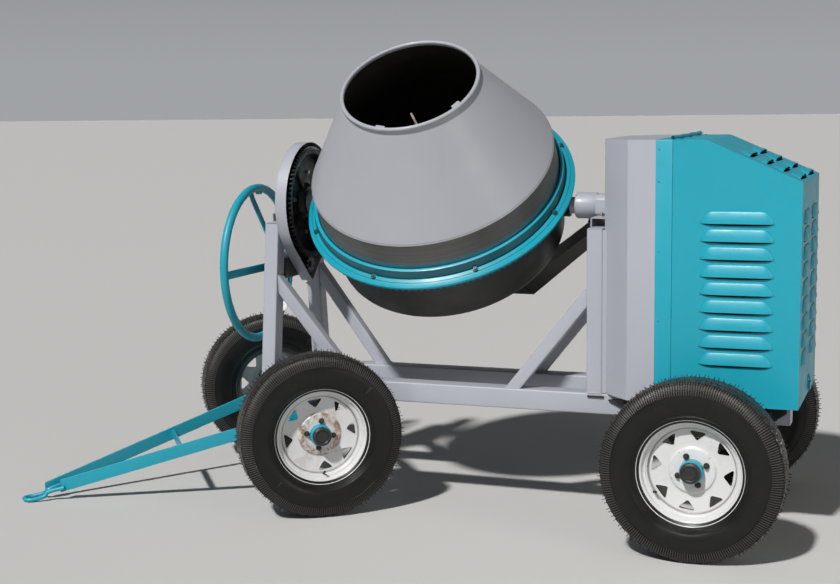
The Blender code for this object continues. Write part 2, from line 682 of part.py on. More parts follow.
def eye_loop(tip, ground, drop):
    """A bent rod: a flat loop on the ground, both legs rising between the bars' ends."""
    bend = 0.030
    front = tip - EYE_ROD - bend
    path = []
    for i in range(9):
        angle = math.pi / 2 + math.pi * i / 8
        path.append(Vector((-front + bend * math.cos(angle), bend * math.sin(angle), ground)))
    legs = [(-front + 0.040, 0.022, ground + 0.004), (-0.893, 0.0085, drop), (-0.800, 0.0085, drop + 0.027)]
    right = [Vector((x, -y, z)) for x, y, z in legs]
    left = [Vector(p) for p in reversed(legs)]
    return rod_along(left + path + right, EYE_ROD, 8)


def rod_along(path, radius, sides):
    """A round rod with flat ends along a path of points."""
    bm = bmesh.new()
    loops = []
    for i, point in enumerate(path):
        before = path[max(i - 1, 0)]
        after = path[min(i + 1, len(path) - 1)]
        along = (after - before).normalized()
        side = along.cross(Z).normalized()
        up = side.cross(along)
        angles = [(k + 0.5) * 2 * math.pi / sides for k in range(sides)]
        loops.append([bm.verts.new(point + (side * math.cos(a) + up * math.sin(a)) * radius) for a in angles])
    skin_loops(bm, loops, False)
    bm.faces.new(loops[0])
    bm.faces.new(loops[-1])
    return bm


# ---------------------------------------------------------------- tilting yoke
def yoke_outline(inset):
    """Side outline of the cradle: a base under the bowl and an arm to each trunnion."""
    base, base_top = -0.440, -0.388
    right, left = 0.5975, -0.5400
    return [
        (-0.290 + inset * 0.4, base + inset), (0.290 - inset * 0.4, base + inset),
        (right - inset, -0.133 + inset * 0.4),
        (right - inset, -0.0483 - inset), (0.562 + inset * 0.4, -0.0483 - inset),
        (0.562 + inset * 0.4, -0.1020 - inset * 0.4), (0.245 - inset * 0.4, base_top - inset),
        (-0.245 + inset * 0.4, base_top - inset), (-0.504 - inset * 0.4, -0.1400 - inset * 0.4),
        (-0.504 - inset * 0.4, -0.0453 - inset), (left + inset, -0.0453 - inset), (left + inset, -0.210 + inset * 0.4),
    ]


def make_yoke(machine, paints):
    grey, black, iron = paints["grey_paint"], paints["black_paint"], paints["cast_iron"]
    tilt = make_empty("drum_tilt", (DRUM_X, 0, TRUNNION_Z), machine, (math.pi / 2 - DRUM_ELEVATION, 0, 0))
    frame = make_object("yoke_frame", prism(yoke_outline(0), -0.040, 0.040, "XZ"), black, tilt)
    pocket = prism(yoke_outline(0.006), -0.033, 0.060, "XZ")
    combine(frame, make_object("yoke_pocket", pocket, None, tilt), "DIFFERENCE")

    right = -DRUM_X
    tube = [
        (0.0310, right - 0.5480), (0.0310, right - 0.5250), (0.0480, right - 0.5250), (0.0480, right - 0.4470),
        (0.0300, right - 0.4470), (0.0300, right + HOUSING_LEFT + 0.002), (0.0186, right + HOUSING_LEFT + 0.002),
        (0.0186, right - 0.5480),
    ]
    turned = lathe(tube, 20)
    rotate(turned, math.pi / 2, Y)
    make_object("trunnion_right", turned, grey, tilt, smooth=True)

    left = LEFT_POST[0] - 0.004 - DRUM_X
    tube = [(0, left), (0.0250, left), (0.0250, -0.5850), (0.0450, -0.5850), (0.0450, -0.5170), (0, -0.5170)]
    turned = lathe(tube, 24, closed=False)
    rotate(turned, math.pi / 2, Y)
    make_object("trunnion_left", turned, grey, tilt, smooth=True)

    gap_angle = -math.pi / 2 - (math.pi / 2 - DRUM_ELEVATION)
    tooth_angle = gap_angle + math.pi / TILT_TEETH
    outline = gear_outline(TILT_TEETH, TILT_MODULE * TILT_TEETH / 2, TILT_MODULE, TILT_MODULE * 1.4,
                           0.12, tooth_angle)
    low, high = TILT_GEAR[0] - DRUM_X, TILT_GEAR[1] - DRUM_X
    gear = make_object("tilt_gear", prism(outline, low, high, "YZ"), iron, tilt)
    recess = lathe([(0.0455, -0.5750), (0.1800, -0.5750), (0.1880, -0.5390), (0.0455, -0.5390)], 24)
    rotate(recess, math.pi / 2, Y)
    combine(gear, make_object("gear_recess", recess, None, tilt), "DIFFERENCE")
    bore = lathe([(0, -0.62), (0.0255, -0.62), (0.0255, -0.5856), (0.0455, -0.5856), (0.0455, -0.54), (0, -0.54)],
                 24, closed=False)
    rotate(bore, math.pi / 2, Y)
    combine(gear, make_object("gear_bore", bore, None, tilt), "DIFFERENCE")
    return tilt


def make_handwheel(machine, paints):
    axis = make_empty("handwheel_axis", (0, 0, PINION_Z), machine)
    bm = bmesh.new()
    loops = []
    for i in range(24):
        turn = 2 * math.pi * (i + 0.5) / 24
        ring = []
        for k in range(6):
            angle = 2 * math.pi * (k + 0.5) / 6
            radius = HANDWHEEL_RADIUS + HANDWHEEL_TUBE * math.cos(angle)
            x = HANDWHEEL_X + HANDWHEEL_TUBE * math.sin(angle)
            ring.append(bm.verts.new((x, radius * math.cos(turn), radius * math.sin(turn))))
        loops.append(ring)
    skin_loops(bm, loops, True)
    wheel = make_object("handwheel", bm, paints["teal_paint"], axis, smooth=True)
    hub = cylinder(0.030, HANDWHEEL_HUB_X - 0.025, HANDWHEEL_HUB_X + 0.020, 16, "X")
    for i, degrees in enumerate(SPOKE_ANGLES):
        turn = math.radians(degrees)
        out = Vector((0, math.cos(turn), math.sin(turn)))
        start = X * HANDWHEEL_HUB_X + out * 0.020
        end = X * (HANDWHEEL_X + 0.004) + out * (HANDWHEEL_RADIUS - 0.004)
        spoke = beam(start, end, 0.006, 0.032, (start, out), (end, out), X, wall=0)
        combine(wheel, make_object(f"spoke_{i}", spoke, None, axis), "UNION")
    combine(wheel, make_object("handwheel_hub", hub, None, axis), "UNION")
    bore = cylinder(0.0128, HANDWHEEL_HUB_X - 0.018, HANDWHEEL_HUB_X + 0.030, 16, "X")
    combine(wheel, make_object("handwheel_bore", bore, None, axis), "DIFFERENCE")

    pitch_radius = TILT_MODULE * TILT_PINION_TEETH / 2
    outline = gear_outline(TILT_PINION_TEETH, pitch_radius, TILT_MODULE * 0.9, TILT_MODULE * 1.5,
                           0.12, math.pi / 2)
    pinion = make_object("tilt_pinion", prism(outline, TILT_GEAR[0], TILT_GEAR[1], "YZ"), paints["cast_iron"], axis)
    shaft = cylinder(0.0125, HANDWHEEL_HUB_X - 0.0175, TILT_GEAR[1] + 0.006, 16, "X")
    combine(pinion, make_object("pinion_shaft", shaft, None, axis), "UNION")


# ---------------------------------------------------------------- drum
def make_drum(tilt, paints):
    """Everything here turns about the local Z axis of the tilting frame."""
    grey, black, teal, iron = (paints[key] for key in ("grey_paint", "black_paint", "teal_paint", "cast_iron"))
    seam = 0.0700
    cone = [
        (MOUTH_RADIUS, MOUTH_HEIGHT), (SHOULDER_RADIUS, SHOULDER_HEIGHT), (SEAM_RADIUS, seam),
        (SEAM_RADIUS - SHELL, seam), (SHOULDER_RADIUS - SHELL, SHOULDER_HEIGHT - 0.001),
        (MOUTH_RADIUS - SHELL - 0.0015, MOUTH_HEIGHT - 0.003), (MOUTH_RADIUS - 0.006, MOUTH_HEIGHT + 0.012),
        (MOUTH_RADIUS + 0.0095, MOUTH_HEIGHT + 0.012),
    ]
    make_object("drum_cone", lathe(cone, DRUM_SEGMENTS), grey, tilt, smooth=True)

    knuckle = BOWL_WALL_END
    bowl = [
        (SEAM_RADIUS, seam - GAP), (SEAM_RADIUS, 0.0200), (BOWL_WALL_RADIUS, knuckle),
        (0.3800, -0.2300), (0.2200, -0.3080), (0, BOWL_DEPTH), (0, BOWL_DEPTH + 0.0045),
        (0.2185, -0.3035), (0.3770, -0.2265), (BOWL_WALL_RADIUS - SHELL, knuckle + 0.001),
        (SEAM_RADIUS - SHELL, 0.0200), (SEAM_RADIUS - SHELL, seam - GAP),
    ]
    make_object("drum_bowl", lathe(bowl, DRUM_SEGMENTS), black, tilt, smooth=True)

    inner = SEAM_RADIUS + 0.0006
    ring = [
        (inner, 0.1020), (0.4770, 0.1000), (0.4790, 0.0760), (FLANGE_RADIUS, FLANGE_EDGE),
        (FLANGE_RADIUS, 0.0500), (inner, 0.0500),
    ]
    make_object("drum_flange_ring", lathe(ring, DRUM_SEGMENTS), teal, tilt, smooth=True)
    make_object("drum_ring_gear", ring_gear(), iron, tilt)

    for i, word in enumerate(("a", "b")):
        make_object(f"mixing_blade_{word}", mixing_blade(i * math.pi), black, tilt)


def ring_gear():
    """Crown gear under the flange, with V teeth that point down the drum's axis."""
    bm = bmesh.new()
    root, tip, top = 0.0455, 0.0355, 0.0500 - GAP
    inner, outer = RING_FACE
    inner = max(inner, SEAM_RADIUS + 0.0006)
    corners = [[], [], [], []]
    for i in range(2 * RING_TEETH):
        angle = i * math.pi / RING_TEETH
        low = tip if i % 2 else root
        for loop, (radius, height) in zip(corners, ((inner, low), (outer, low), (outer, top), (inner, top))):
            loop.append(bm.verts.new((radius * math.cos(angle), radius * math.sin(angle), height)))
    skin_loops(bm, corners, True)
    return bm


def mixing_blade(turn):
    """A plate on the inside of the bowl and cone, in a plane through the drum's axis."""
    end = 0.400
    end_radius = (cone_radius(end) - 0.0055) * math.cos(math.pi / DRUM_SEGMENTS) - 0.001
    outline = [
        (0.270, -0.2760), (0.372, -0.2230), (0.4340, -0.1520), (0.4570, 0.0200), (0.4560, 0.0700),
        (0.4525, 0.2100), (end_radius, end), (end_radius - 0.075, end),
        (0.345, 0.180), (0.330, -0.080), (0.270, -0.160),
    ]
    bm = prism(outline, -0.003, 0.003, "XZ")
    rotate(bm, turn, Z)
    return bm


def make_drive(tilt, paints):
    """Bevel pinion on the drive shaft; both turn about the trunnion axis."""
    outline = gear_outline(DRIVE_TEETH, DRIVE_PITCH_RADIUS, 0.003, 0.008, 0.12, math.pi / 2)
    low, high = SEAM_RADIUS + 0.004, RING_FACE[1] - 0.0075
    pinion = make_object("drive_shaft", prism(outline, low, high, "YZ"), paints["cast_iron"], tilt)
    shaft = cylinder(0.0178, low + 0.002, PULLEYS[1] + 0.010 - DRUM_X, 12, "X")
    combine(pinion, make_object("drive_shaft_bar", shaft, None, tilt), "UNION")


def main():
    clear_scene()
    paints = make_materials()
    machine = make_empty("machine", (MACHINE_X, 0, 0))
    make_chassis(machine, paints)
    make_towers(machine, paints)
    make_guard(machine, paints)
    make_wheel("rear_near", machine, (0, -REAR_TRACK_HALF, TYRE_RADIUS), -1, paints)
    make_wheel("rear_far", machine, (0, REAR_TRACK_HALF, TYRE_RADIUS), 1, paints)
    steer = make_front_axle(machine, paints)
    make_drawbar(steer, paints)
    tilt = make_yoke(machine, paints)
    make_handwheel(machine, paints)
    make_drum(tilt, paints)
    make_drive(tilt, paints)
    make_housing(machine, paints)
    make_belt_drive(machine, tilt, paints)


main()
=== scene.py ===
"""Looks of the towable concrete mixer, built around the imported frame."""

import json
import math
import random

import bmesh
import bpy
from mathutils import Matrix, Vector


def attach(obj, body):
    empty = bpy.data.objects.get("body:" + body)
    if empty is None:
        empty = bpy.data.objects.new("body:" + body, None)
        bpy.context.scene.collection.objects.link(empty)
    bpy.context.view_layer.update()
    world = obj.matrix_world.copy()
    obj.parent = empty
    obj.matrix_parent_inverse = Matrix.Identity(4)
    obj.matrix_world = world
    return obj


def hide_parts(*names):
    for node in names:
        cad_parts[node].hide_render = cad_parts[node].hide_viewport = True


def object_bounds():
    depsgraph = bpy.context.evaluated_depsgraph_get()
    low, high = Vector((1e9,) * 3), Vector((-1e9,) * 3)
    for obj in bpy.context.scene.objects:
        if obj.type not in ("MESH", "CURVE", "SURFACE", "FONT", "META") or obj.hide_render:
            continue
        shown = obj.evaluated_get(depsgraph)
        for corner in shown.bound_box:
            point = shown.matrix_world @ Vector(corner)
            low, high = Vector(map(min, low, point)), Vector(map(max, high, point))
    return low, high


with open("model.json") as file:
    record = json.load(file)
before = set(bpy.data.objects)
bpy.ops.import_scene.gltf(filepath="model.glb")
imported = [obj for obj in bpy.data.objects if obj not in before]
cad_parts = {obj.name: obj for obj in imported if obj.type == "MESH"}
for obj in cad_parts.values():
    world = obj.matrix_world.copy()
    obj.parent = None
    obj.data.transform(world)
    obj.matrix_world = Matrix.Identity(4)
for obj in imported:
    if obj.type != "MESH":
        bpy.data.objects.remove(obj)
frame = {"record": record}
CAD_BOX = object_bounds()

random.seed(7)
X, Y, Z = Vector((1, 0, 0)), Vector((0, 1, 0)), Vector((0, 0, 1))
TAU = 2 * math.pi
GAP = 0.0003  # between touching solids
RIBS = 216  # round each shoulder of a tyre

# ---------------------------------------------------------------- places from the frame
JOINTS = {joint["name"]: joint for joint in frame["record"]["behaviour"]["joints"]}
AXLE_X = JOINTS["rear_near_wheel_spin"]["pos_m"][0]
TRUNNION_BACK = AXLE_X - JOINTS["drum_tilt"]["pos_m"][0]  # from the rear axle to the drum
KINGPIN_X = JOINTS["steering"]["pos_m"][0]
TRUNNION = Vector(JOINTS["drum_tilt"]["pos_m"])
PINION = Vector(JOINTS["handwheel_turn"]["pos_m"])
DRUM_AXIS = Vector(JOINTS["drum_spin"]["axis"])
STEER_AXIS = Vector(JOINTS["towing_bar_lift"]["axis"])
STEER = math.atan2(-STEER_AXIS.x, STEER_AXIS.y)

MACHINE = Matrix.Translation((AXLE_X, 0, 0))
STEERED = Matrix.Translation((KINGPIN_X, 0, 0)) @ Matrix.Rotation(STEER, 4, "Z")
BAR_PIVOT = Matrix.Translation(JOINTS["towing_bar_lift"]["pos_m"]) @ Matrix.Rotation(STEER, 4, "Z")
TILTED = Matrix.Translation(TRUNNION) @ Matrix.Rotation(math.atan2(-DRUM_AXIS.y, DRUM_AXIS.z), 4, "X")

FRAMES = {
    "chassis": MACHINE, "engine_hood": MACHINE, "handwheel_shaft": MACHINE, "drum": TILTED,
    "cradle": TILTED, "drive_shaft_set": TILTED, "towing_bar": BAR_PIVOT, "steered_axle": STEERED,
}


# ---------------------------------------------------------------- materials
class Shader:
    """A Principled material and short ways to add nodes to it."""

    def __init__(self, name, color, roughness, metallic=0.0, coat=0.0, specular=0.5):
        self.material = bpy.data.materials.new(name)
        self.material.use_nodes = True
        self.tree = self.material.node_tree
        self.bsdf = self.tree.nodes["Principled BSDF"]
        self.bsdf.inputs["Base Color"].default_value = (*color, 1)
        self.bsdf.inputs["Roughness"].default_value = roughness
        self.bsdf.inputs["Metallic"].default_value = metallic
        self.bsdf.inputs["Coat Weight"].default_value = coat
        self.bsdf.inputs["Coat Roughness"].default_value = 0.12
        self.bsdf.inputs["Specular IOR Level"].default_value = specular
        self.color = color
        self.height = None

    def link(self, output, socket):
        self.tree.links.new(output, socket)

    def coords(self, kind="Object"):
        if kind == "Shape":  # the piece's own axes, kept by put()
            node = self.tree.nodes.new("ShaderNodeAttribute")
            node.attribute_name = "shape"
            return node.outputs["Vector"]
        return self.tree.nodes.new("ShaderNodeTexCoord").outputs[kind]

    def scaled(self, scale, kind="Object"):
        node = self.tree.nodes.new("ShaderNodeMapping")
        self.link(self.coords(kind), node.inputs["Vector"])
        node.inputs["Scale"].default_value = scale
        return node.outputs[0]

    def noise(self, scale, detail=4.0, rough=0.55, vector=None):
        node = self.tree.nodes.new("ShaderNodeTexNoise")
        self.link(vector or self.coords(), node.inputs["Vector"])
        node.inputs["Scale"].default_value = scale
        node.inputs["Detail"].default_value = detail
        node.inputs["Roughness"].default_value = rough
        return node.outputs["Fac"]

    def cells(self, scale, vector=None):
        node = self.tree.nodes.new("ShaderNodeTexVoronoi")
        self.link(vector or self.coords(), node.inputs["Vector"])
        node.inputs["Scale"].default_value = scale
        return node.outputs["Distance"]

    def remap(self, value, low, high, to_low=0.0, to_high=1.0):
        node = self.tree.nodes.new("ShaderNodeMapRange")
        self.link(value, node.inputs["Value"])
        for key, number in (("From Min", low), ("From Max", high), ("To Min", to_low), ("To Max", to_high)):
            node.inputs[key].default_value = number
        return node.outputs[0]

    def math(self, kind, a, b):
        node = self.tree.nodes.new("ShaderNodeMath")
        node.operation = kind
        for value, socket in ((a, node.inputs[0]), (b, node.inputs[1])):
            if isinstance(value, (int, float)):
                socket.default_value = value
            else:
                self.link(value, socket)
        return node.outputs[0]

    def axis(self, letter, kind="Shape"):
        node = self.tree.nodes.new("ShaderNodeSeparateXYZ")
        self.link(self.coords(kind), node.inputs[0])
        return node.outputs[letter]

    def radius(self, letters="XY"):
        a, b = (self.axis(letter) for letter in letters)
        return self.math("SQRT", self.math("ADD", self.math("MULTIPLY", a, a), self.math("MULTIPLY", b, b)),
                         0)

    def tint(self, mask, color):
        """Mixes a colour over what is there, where the mask is 1."""
        node = self.tree.nodes.new("ShaderNodeMix")
        node.data_type = "RGBA"
        self.link(mask, node.inputs["Factor"])
        if isinstance(self.color, tuple):
            node.inputs[6].default_value = (*self.color, 1)
        else:
            self.link(self.color, node.inputs[6])
        node.inputs[7].default_value = (*color, 1)
        self.color = node.outputs[2]

    def shine(self, value, low, high, rough_low, rough_high):
        self.link(self.remap(value, low, high, rough_low, rough_high), self.bsdf.inputs["Roughness"])

    def bump(self, value, distance, strength=1.0):
        node = self.tree.nodes.new("ShaderNodeBump")
        self.link(value, node.inputs["Height"])
        node.inputs["Distance"].default_value = distance
        node.inputs["Strength"].default_value = strength
        if self.height:
            self.link(self.height, node.inputs["Normal"])
        self.height = node.outputs[0]

    def done(self):
        if not isinstance(self.color, tuple):
            self.link(self.color, self.bsdf.inputs["Base Color"])
        if self.height:
            self.link(self.height, self.bsdf.inputs["Normal"])
        return self.material


def sprayed(name, color, roughness, coat, dust=0.25, dust_color=(0.42, 0.38, 0.32), chips=0.5):
    """Sprayed paint: orange peel, faint tone drift, settled dust, runs of dirt and a few chips."""
    s = Shader(name, color, roughness, coat=coat)
    drift = s.noise(2.3, 3)
    s.tint(s.remap(drift, 0.35, 0.7, 0, 0.35), tuple(c * 0.86 for c in color))
    specks = s.remap(s.cells(46), 0.035, 0.02)
    s.tint(s.math("MULTIPLY", specks, s.remap(s.noise(5, 2), 0.5, 0.62, 0, chips)), (0.62, 0.62, 0.60))
    facing = s.remap(s.axis("Z", "Normal"), 0.35, 1.0)
    settled = s.math("MULTIPLY", s.math("ADD", facing, 0.12), s.remap(s.noise(9, 6, 0.7), 0.38, 0.75))
    s.tint(s.math("MULTIPLY", settled, dust), dust_color)
    streak = s.noise(1.0, 5, 0.6, s.scaled((34, 34, 2.2)))
    s.tint(s.remap(streak, 0.60, 0.85, 0, 0.10), tuple(c * 0.55 for c in color))
    s.shine(s.noise(14, 4), 0.3, 0.75, roughness * 0.82, roughness * 1.25)
    s.bump(s.noise(420, 2, 0.5), 0.00012, 0.5)
    s.bump(s.noise(7, 2, 0.5), 0.0012, 0.25)
    return s


def mottled(name, color, roughness, metallic, cloud, spread, spots, shine=None, grain=None):
    """One colour with clouds of another: cloud and grain are noises, spread is where the clouds begin."""
    s = Shader(name, color, roughness, metallic=metallic)
    s.tint(s.remap(s.noise(*cloud), *spread[:2], 0, spread[2]), spots)
    if shine:
        s.shine(s.noise(*shine[:2]), 0.3, 0.7, *shine[2:])
    if grain:
        s.bump(s.noise(*grain[:-2]), *grain[-2:])
    return s.done()


MOTTLED = {
    # Flange bolts: the flange's teal darkened to about a third, as painted shade for the bolts in the flange's
    # groove.
    "teal_bolt": ("teal_bolt_paint", (0.004, 0.085, 0.110), 0.40, 0.0, (150, 4), (0.5, 0.7, 0.7),
                  (0.030, 0.028, 0.026), None, (300, 3, 0.0002, 0.4)),
    "zinc": ("zinc_plated_steel", (0.52, 0.51, 0.48), 0.32, 1.0, (90, 4), (0.45, 0.7, 0.5),
             (0.40, 0.36, 0.27), (130, 3, 0.24, 0.5)),
    "bar_steel": ("worn_bar_steel", (0.27, 0.235, 0.20), 0.5, 0.2, (60, 5), (0.45, 0.7, 0.8),
                  (0.12, 0.085, 0.06), None, (200, 3, 0.0004, 0.4)),
    "dark_steel": ("dark_steel", (0.055, 0.053, 0.050), 0.45, 0.8, (70, 5), (0.5, 0.7, 0.5),
                   (0.075, 0.050, 0.035), None, (220, 3, 0.0003, 0.4)),
    "plastic": ("black_plastic", (0.014, 0.014, 0.014), 0.42, 0.0, (60, 5), (0.5, 0.72, 0.5),
                (0.06, 0.052, 0.042), (50, 4, 0.34, 0.6), (300, 3, 0.0002, 0.4)),
    "white_plastic": ("white_plastic", (0.80, 0.80, 0.78), 0.35, 0.0, (40, 4), (0.55, 0.8, 0.4),
                      (0.5, 0.47, 0.42)),
    "engine": ("engine_iron", (0.085, 0.083, 0.080), 0.5, 0.5, (12, 6), (0.5, 0.75, 0.6),
               (0.035, 0.030, 0.026), None, (90, 5, 0.6, 0.0012, 0.5)),
    "muffler": ("heated_steel", (0.20, 0.17, 0.15), 0.5, 0.9, (9, 6), (0.45, 0.7, 0.8),
                (0.13, 0.07, 0.04), None, (140, 4, 0.0006, 0.4)),
    "belt": ("belt_rubber_worn", (0.020, 0.020, 0.020), 0.7, 0.0, (60, 5), (0.45, 0.7, 0.4),
             (0.05, 0.048, 0.045), None, (400, 2, 0.0002, 0.5)),
}


def make_materials():
    """Every paint and surface, by its key."""
    made = {key: mottled(*row) for key, row in MOTTLED.items()}
    grey = (0.350, 0.368, 0.420)
    teal = (0.004, 0.288, 0.390)
    made["grey"] = sprayed("grey_paint_sprayed", grey, 0.42, 0.1, dust=0.12).done()
    made["teal"] = sprayed("teal_paint_sprayed", teal, 0.44, 0.05, dust=0.05).done()
    made["teal_worn"] = sprayed("teal_paint_road_dirt", teal, 0.42, 0.1, dust=0.22, chips=0.9).done()
    # Black paint; on the yoke, the pinion bearing plate and the strips under the right posts it is painted
    # shade.
    made["black"] = sprayed("black_paint_and_painted_shade", (0.016, 0.016, 0.015), 0.38, 0.1, dust=0.10,
                            dust_color=(0.20, 0.18, 0.15)).done()

    s = sprayed("grey_paint_drum", (0.335, 0.349, 0.385), 0.45, 0.08, dust=0.06)
    lip = s.remap(s.axis("Z"), 0.2215, 0.2170)
    s.tint(s.math("MULTIPLY", lip, s.remap(s.noise(30, 3), 0.2, 0.7, 0.3, 0.8)), (0.23, 0.23, 0.24))
    made["grey_drum"] = s.done()

    # Near-black bowl: base colour darkened as painted shade for the shaded bowl; the dust on it is real.
    s = sprayed("bowl_paint_darkened_as_shade", (0.020, 0.0195, 0.0165), 0.50, 0.0, dust=0.25, dust_color=(0.085, 0.075, 0.06))
    made["bowl"] = s.done()

    # Inside of the drum and its blades: the near-black base colour is painted shade for the shaded hollow; the
    # cement crust is real.
    s = Shader("drum_inside_steel_painted_shade", (0.020, 0.018, 0.016), 0.75, metallic=0.2)
    cement = s.remap(s.noise(16, 8, 0.7), 0.52, 0.70, 0, 0.35)
    s.tint(cement, (0.075, 0.070, 0.062))
    s.bump(s.noise(60, 5, 0.6), 0.0008, 0.6)
    made["inside"] = s.done()

    # Band: dark base colour, partly painted shade for the band facing away from the light.
    s = Shader("drum_band_steel_painted_shade", (0.150, 0.146, 0.138), 0.42, metallic=0.5)
    rolled = s.noise(1.0, 6, 0.65, s.scaled((3, 3, 160), "Shape"))
    s.tint(s.remap(rolled, 0.35, 0.7, 0, 0.6), (0.085, 0.082, 0.078))
    s.tint(s.remap(s.noise(6, 5, 0.6), 0.55, 0.8, 0, 0.5), (0.11, 0.085, 0.065))
    # Teal towards the flange: partly overspray, partly a painted reflection of the teal flange in the band.
    cloud = s.math("ADD", s.axis("Z"), s.remap(s.noise(24, 4, 0.7), 0, 1, -0.022, 0.022))
    over = s.remap(cloud, 0.136, 0.106)
    s.tint(s.math("MULTIPLY", over, 0.85), teal)
    s.shine(s.noise(22, 4), 0.3, 0.7, 0.36, 0.55)
    s.bump(rolled, 0.0003, 0.25)
    made["band"] = s.done()

    s = sprayed("teal_paint_flange", teal, 0.36, 0.15, dust=0.03, chips=0.8)
    # Darker teal on the groove's step: painted shade and dirt in the groove.
    step = s.math("MULTIPLY", s.remap(s.radius(), 0.4780, 0.4789), s.remap(s.radius(), 0.4862, 0.4842))
    s.tint(s.math("MULTIPLY", step, 0.85), (0.003, 0.055, 0.072))
    joint = s.math("MULTIPLY", s.remap(s.radius(), 0.4962, 0.4972), s.remap(s.radius(), 0.4992, 0.4982))
    s.tint(s.math("MULTIPLY", joint, 0.6), (0.004, 0.10, 0.13))
    made["teal_flange"] = s.done()

    s = Shader("ring_gear_iron", (0.035, 0.033, 0.031), 0.5, metallic=0.5)
    over = s.math("MULTIPLY", s.remap(s.radius(), 0.468, 0.492),
                  s.remap(s.noise(26, 5, 0.7), 0.25, 0.55, 0.55, 1))
    s.tint(over, tuple(c * 0.45 for c in teal))
    s.bump(s.noise(160, 3), 0.0004, 0.4)
    made["ring_gear"] = s.done()

    s = Shader("gear_iron_greased", (0.028, 0.027, 0.026), 0.42, metallic=0.6)
    s.tint(s.remap(s.noise(11, 6, 0.7), 0.5, 0.72, 0, 0.75), (0.060, 0.042, 0.028))
    s.tint(s.remap(s.noise(40, 4, 0.6), 0.58, 0.7, 0, 0.6), (0.008, 0.007, 0.006))
    s.shine(s.noise(18, 5), 0.35, 0.7, 0.25, 0.6)
    s.bump(s.noise(120, 4), 0.0005, 0.5)
    made["gear"] = s.done()

    for key, rust in (("rim", 0.25), ("rim_rusty", 1.0)):
        s = Shader(f"{key}_paint", (0.56, 0.57, 0.58), 0.36, coat=0.15)
        grime = s.noise(7, 6, 0.7)
        s.tint(s.remap(grime, 0.5, 0.85, 0, 0.30), (0.48, 0.44, 0.38))
        r = s.radius()
        joint = s.math("MULTIPLY", s.remap(r, 0.139, 0.1435), s.remap(r, 0.147, 0.1445))
        s.tint(s.math("MULTIPLY", joint, 0.75), (0.16, 0.14, 0.12))
        boss = s.math("MULTIPLY", s.remap(r, 0.066 - 0.02 * rust, 0.074 - 0.01 * rust),
                      s.remap(r, 0.085, 0.079))
        edge = s.remap(s.noise(34, 6, 0.75), 0.62 - 0.20 * rust, 0.74 - 0.18 * rust)
        s.tint(s.math("MULTIPLY", boss, s.math("MULTIPLY", edge, 0.45 + 0.5 * rust)), (0.21, 0.120, 0.055))
        stain = s.math("MULTIPLY", s.remap(r, 0.12, 0.085), s.remap(s.noise(11, 5, 0.7), 0.55, 0.75, 0,
                                                                    0.7 * rust))
        s.tint(stain, (0.30, 0.21, 0.12))
        # Back of the barrel near black: painted shade inside the wheel.
        s.tint(s.math("MULTIPLY", s.remap(s.axis("Z"), 0.0075, 0.0045), 0.96), (0.020, 0.018, 0.016))
        spots = s.math("MULTIPLY", s.remap(s.cells(75), 0.10, 0.05),
                       s.remap(s.noise(9, 3), 0.50, 0.64, 0, 0.9))
        s.tint(spots, (0.20, 0.11, 0.055))
        s.shine(grime, 0.4, 0.8, 0.24, 0.5)
        s.bump(s.noise(300, 2), 0.0001, 0.4)
        made[key] = s.done()

    s = Shader("tyre_rubber_moulded", (0.0045, 0.0045, 0.0046), 0.36, specular=0.32)
    r = s.radius()
    tread = s.remap(r, 0.292, 0.302)
    turn = s.math("MULTIPLY", s.math("ARCTAN2", s.axis("Y"), s.axis("X")), float(RIBS))
    wave = s.math("SINE", turn, 0)
    zone = s.math("MULTIPLY", s.remap(r, 0.2625, 0.2650), s.remap(r, 0.3005, 0.2975))
    # Rib crests painted lighter and rib valleys darker: painted highlight and painted shade on the shoulder
    # ribs.
    s.tint(s.math("MULTIPLY", s.remap(wave, 0.0, 0.7), s.math("MULTIPLY", zone, 0.9)),
           (0.0010, 0.0010, 0.0010))
    s.tint(s.math("MULTIPLY", s.remap(wave, -0.1, -0.7), s.math("MULTIPLY", zone, 0.8)),
           (0.085, 0.083, 0.080))
    s.bump(s.math("MULTIPLY", s.math("MULTIPLY", wave, -1.0), zone), 0.004, 0.8)
    dust = s.remap(s.noise(13, 7, 0.75), 0.42, 0.78)
    s.tint(s.math("MULTIPLY", dust, 0.07), (0.055, 0.048, 0.038))
    s.tint(s.math("MULTIPLY", tread, s.remap(s.noise(22, 6, 0.7), 0.3, 0.7, 0.10, 0.55)),
           (0.050, 0.043, 0.034))
    s.shine(s.noise(10, 5), 0.3, 0.75, 0.30, 0.50)
    rings = s.tree.nodes.new("ShaderNodeMath")
    rings.operation = "SINE"
    s.link(s.math("MULTIPLY", r, 2600.0), rings.inputs[0])
    near_bead = s.math("MULTIPLY", s.remap(r, 0.183, 0.186), s.remap(r, 0.205, 0.198))
    s.bump(s.math("MULTIPLY", rings.outputs[0], near_bead), 0.0006, 0.7)
    s.bump(s.noise(240, 3), 0.0003, 0.35)
    made["tyre"] = s.done()

    s = Shader("studio_floor", (0.50, 0.50, 0.495), 0.75)
    s.bump(s.noise(90, 3), 0.0005, 0.15)
    made["floor"] = s.done()
    return made


PAINT = make_materials()


# ---------------------------------------------------------------- mesh helpers
def skin(bm, loops, closed_path=False, closed_loop=True):
    """Joins neighbouring loops of vertices with faces. A loop of one vertex is a point."""
    pairs = list(zip(loops, loops[1:]))
    if closed_path:
        pairs.append((loops[-1], loops[0]))
    for a, b in pairs:
        count = max(len(a), len(b))
        if count == 1:
            continue
        for i in range(count if closed_loop else count - 1):
            j = (i + 1) % count
            if len(a) == 1:
                bm.faces.new((a[0], b[j], b[i]))
            elif len(b) == 1:
                bm.faces.new((a[i], a[j], b[0]))
            else:
                bm.faces.new((a[i], a[j], b[j], b[i]))


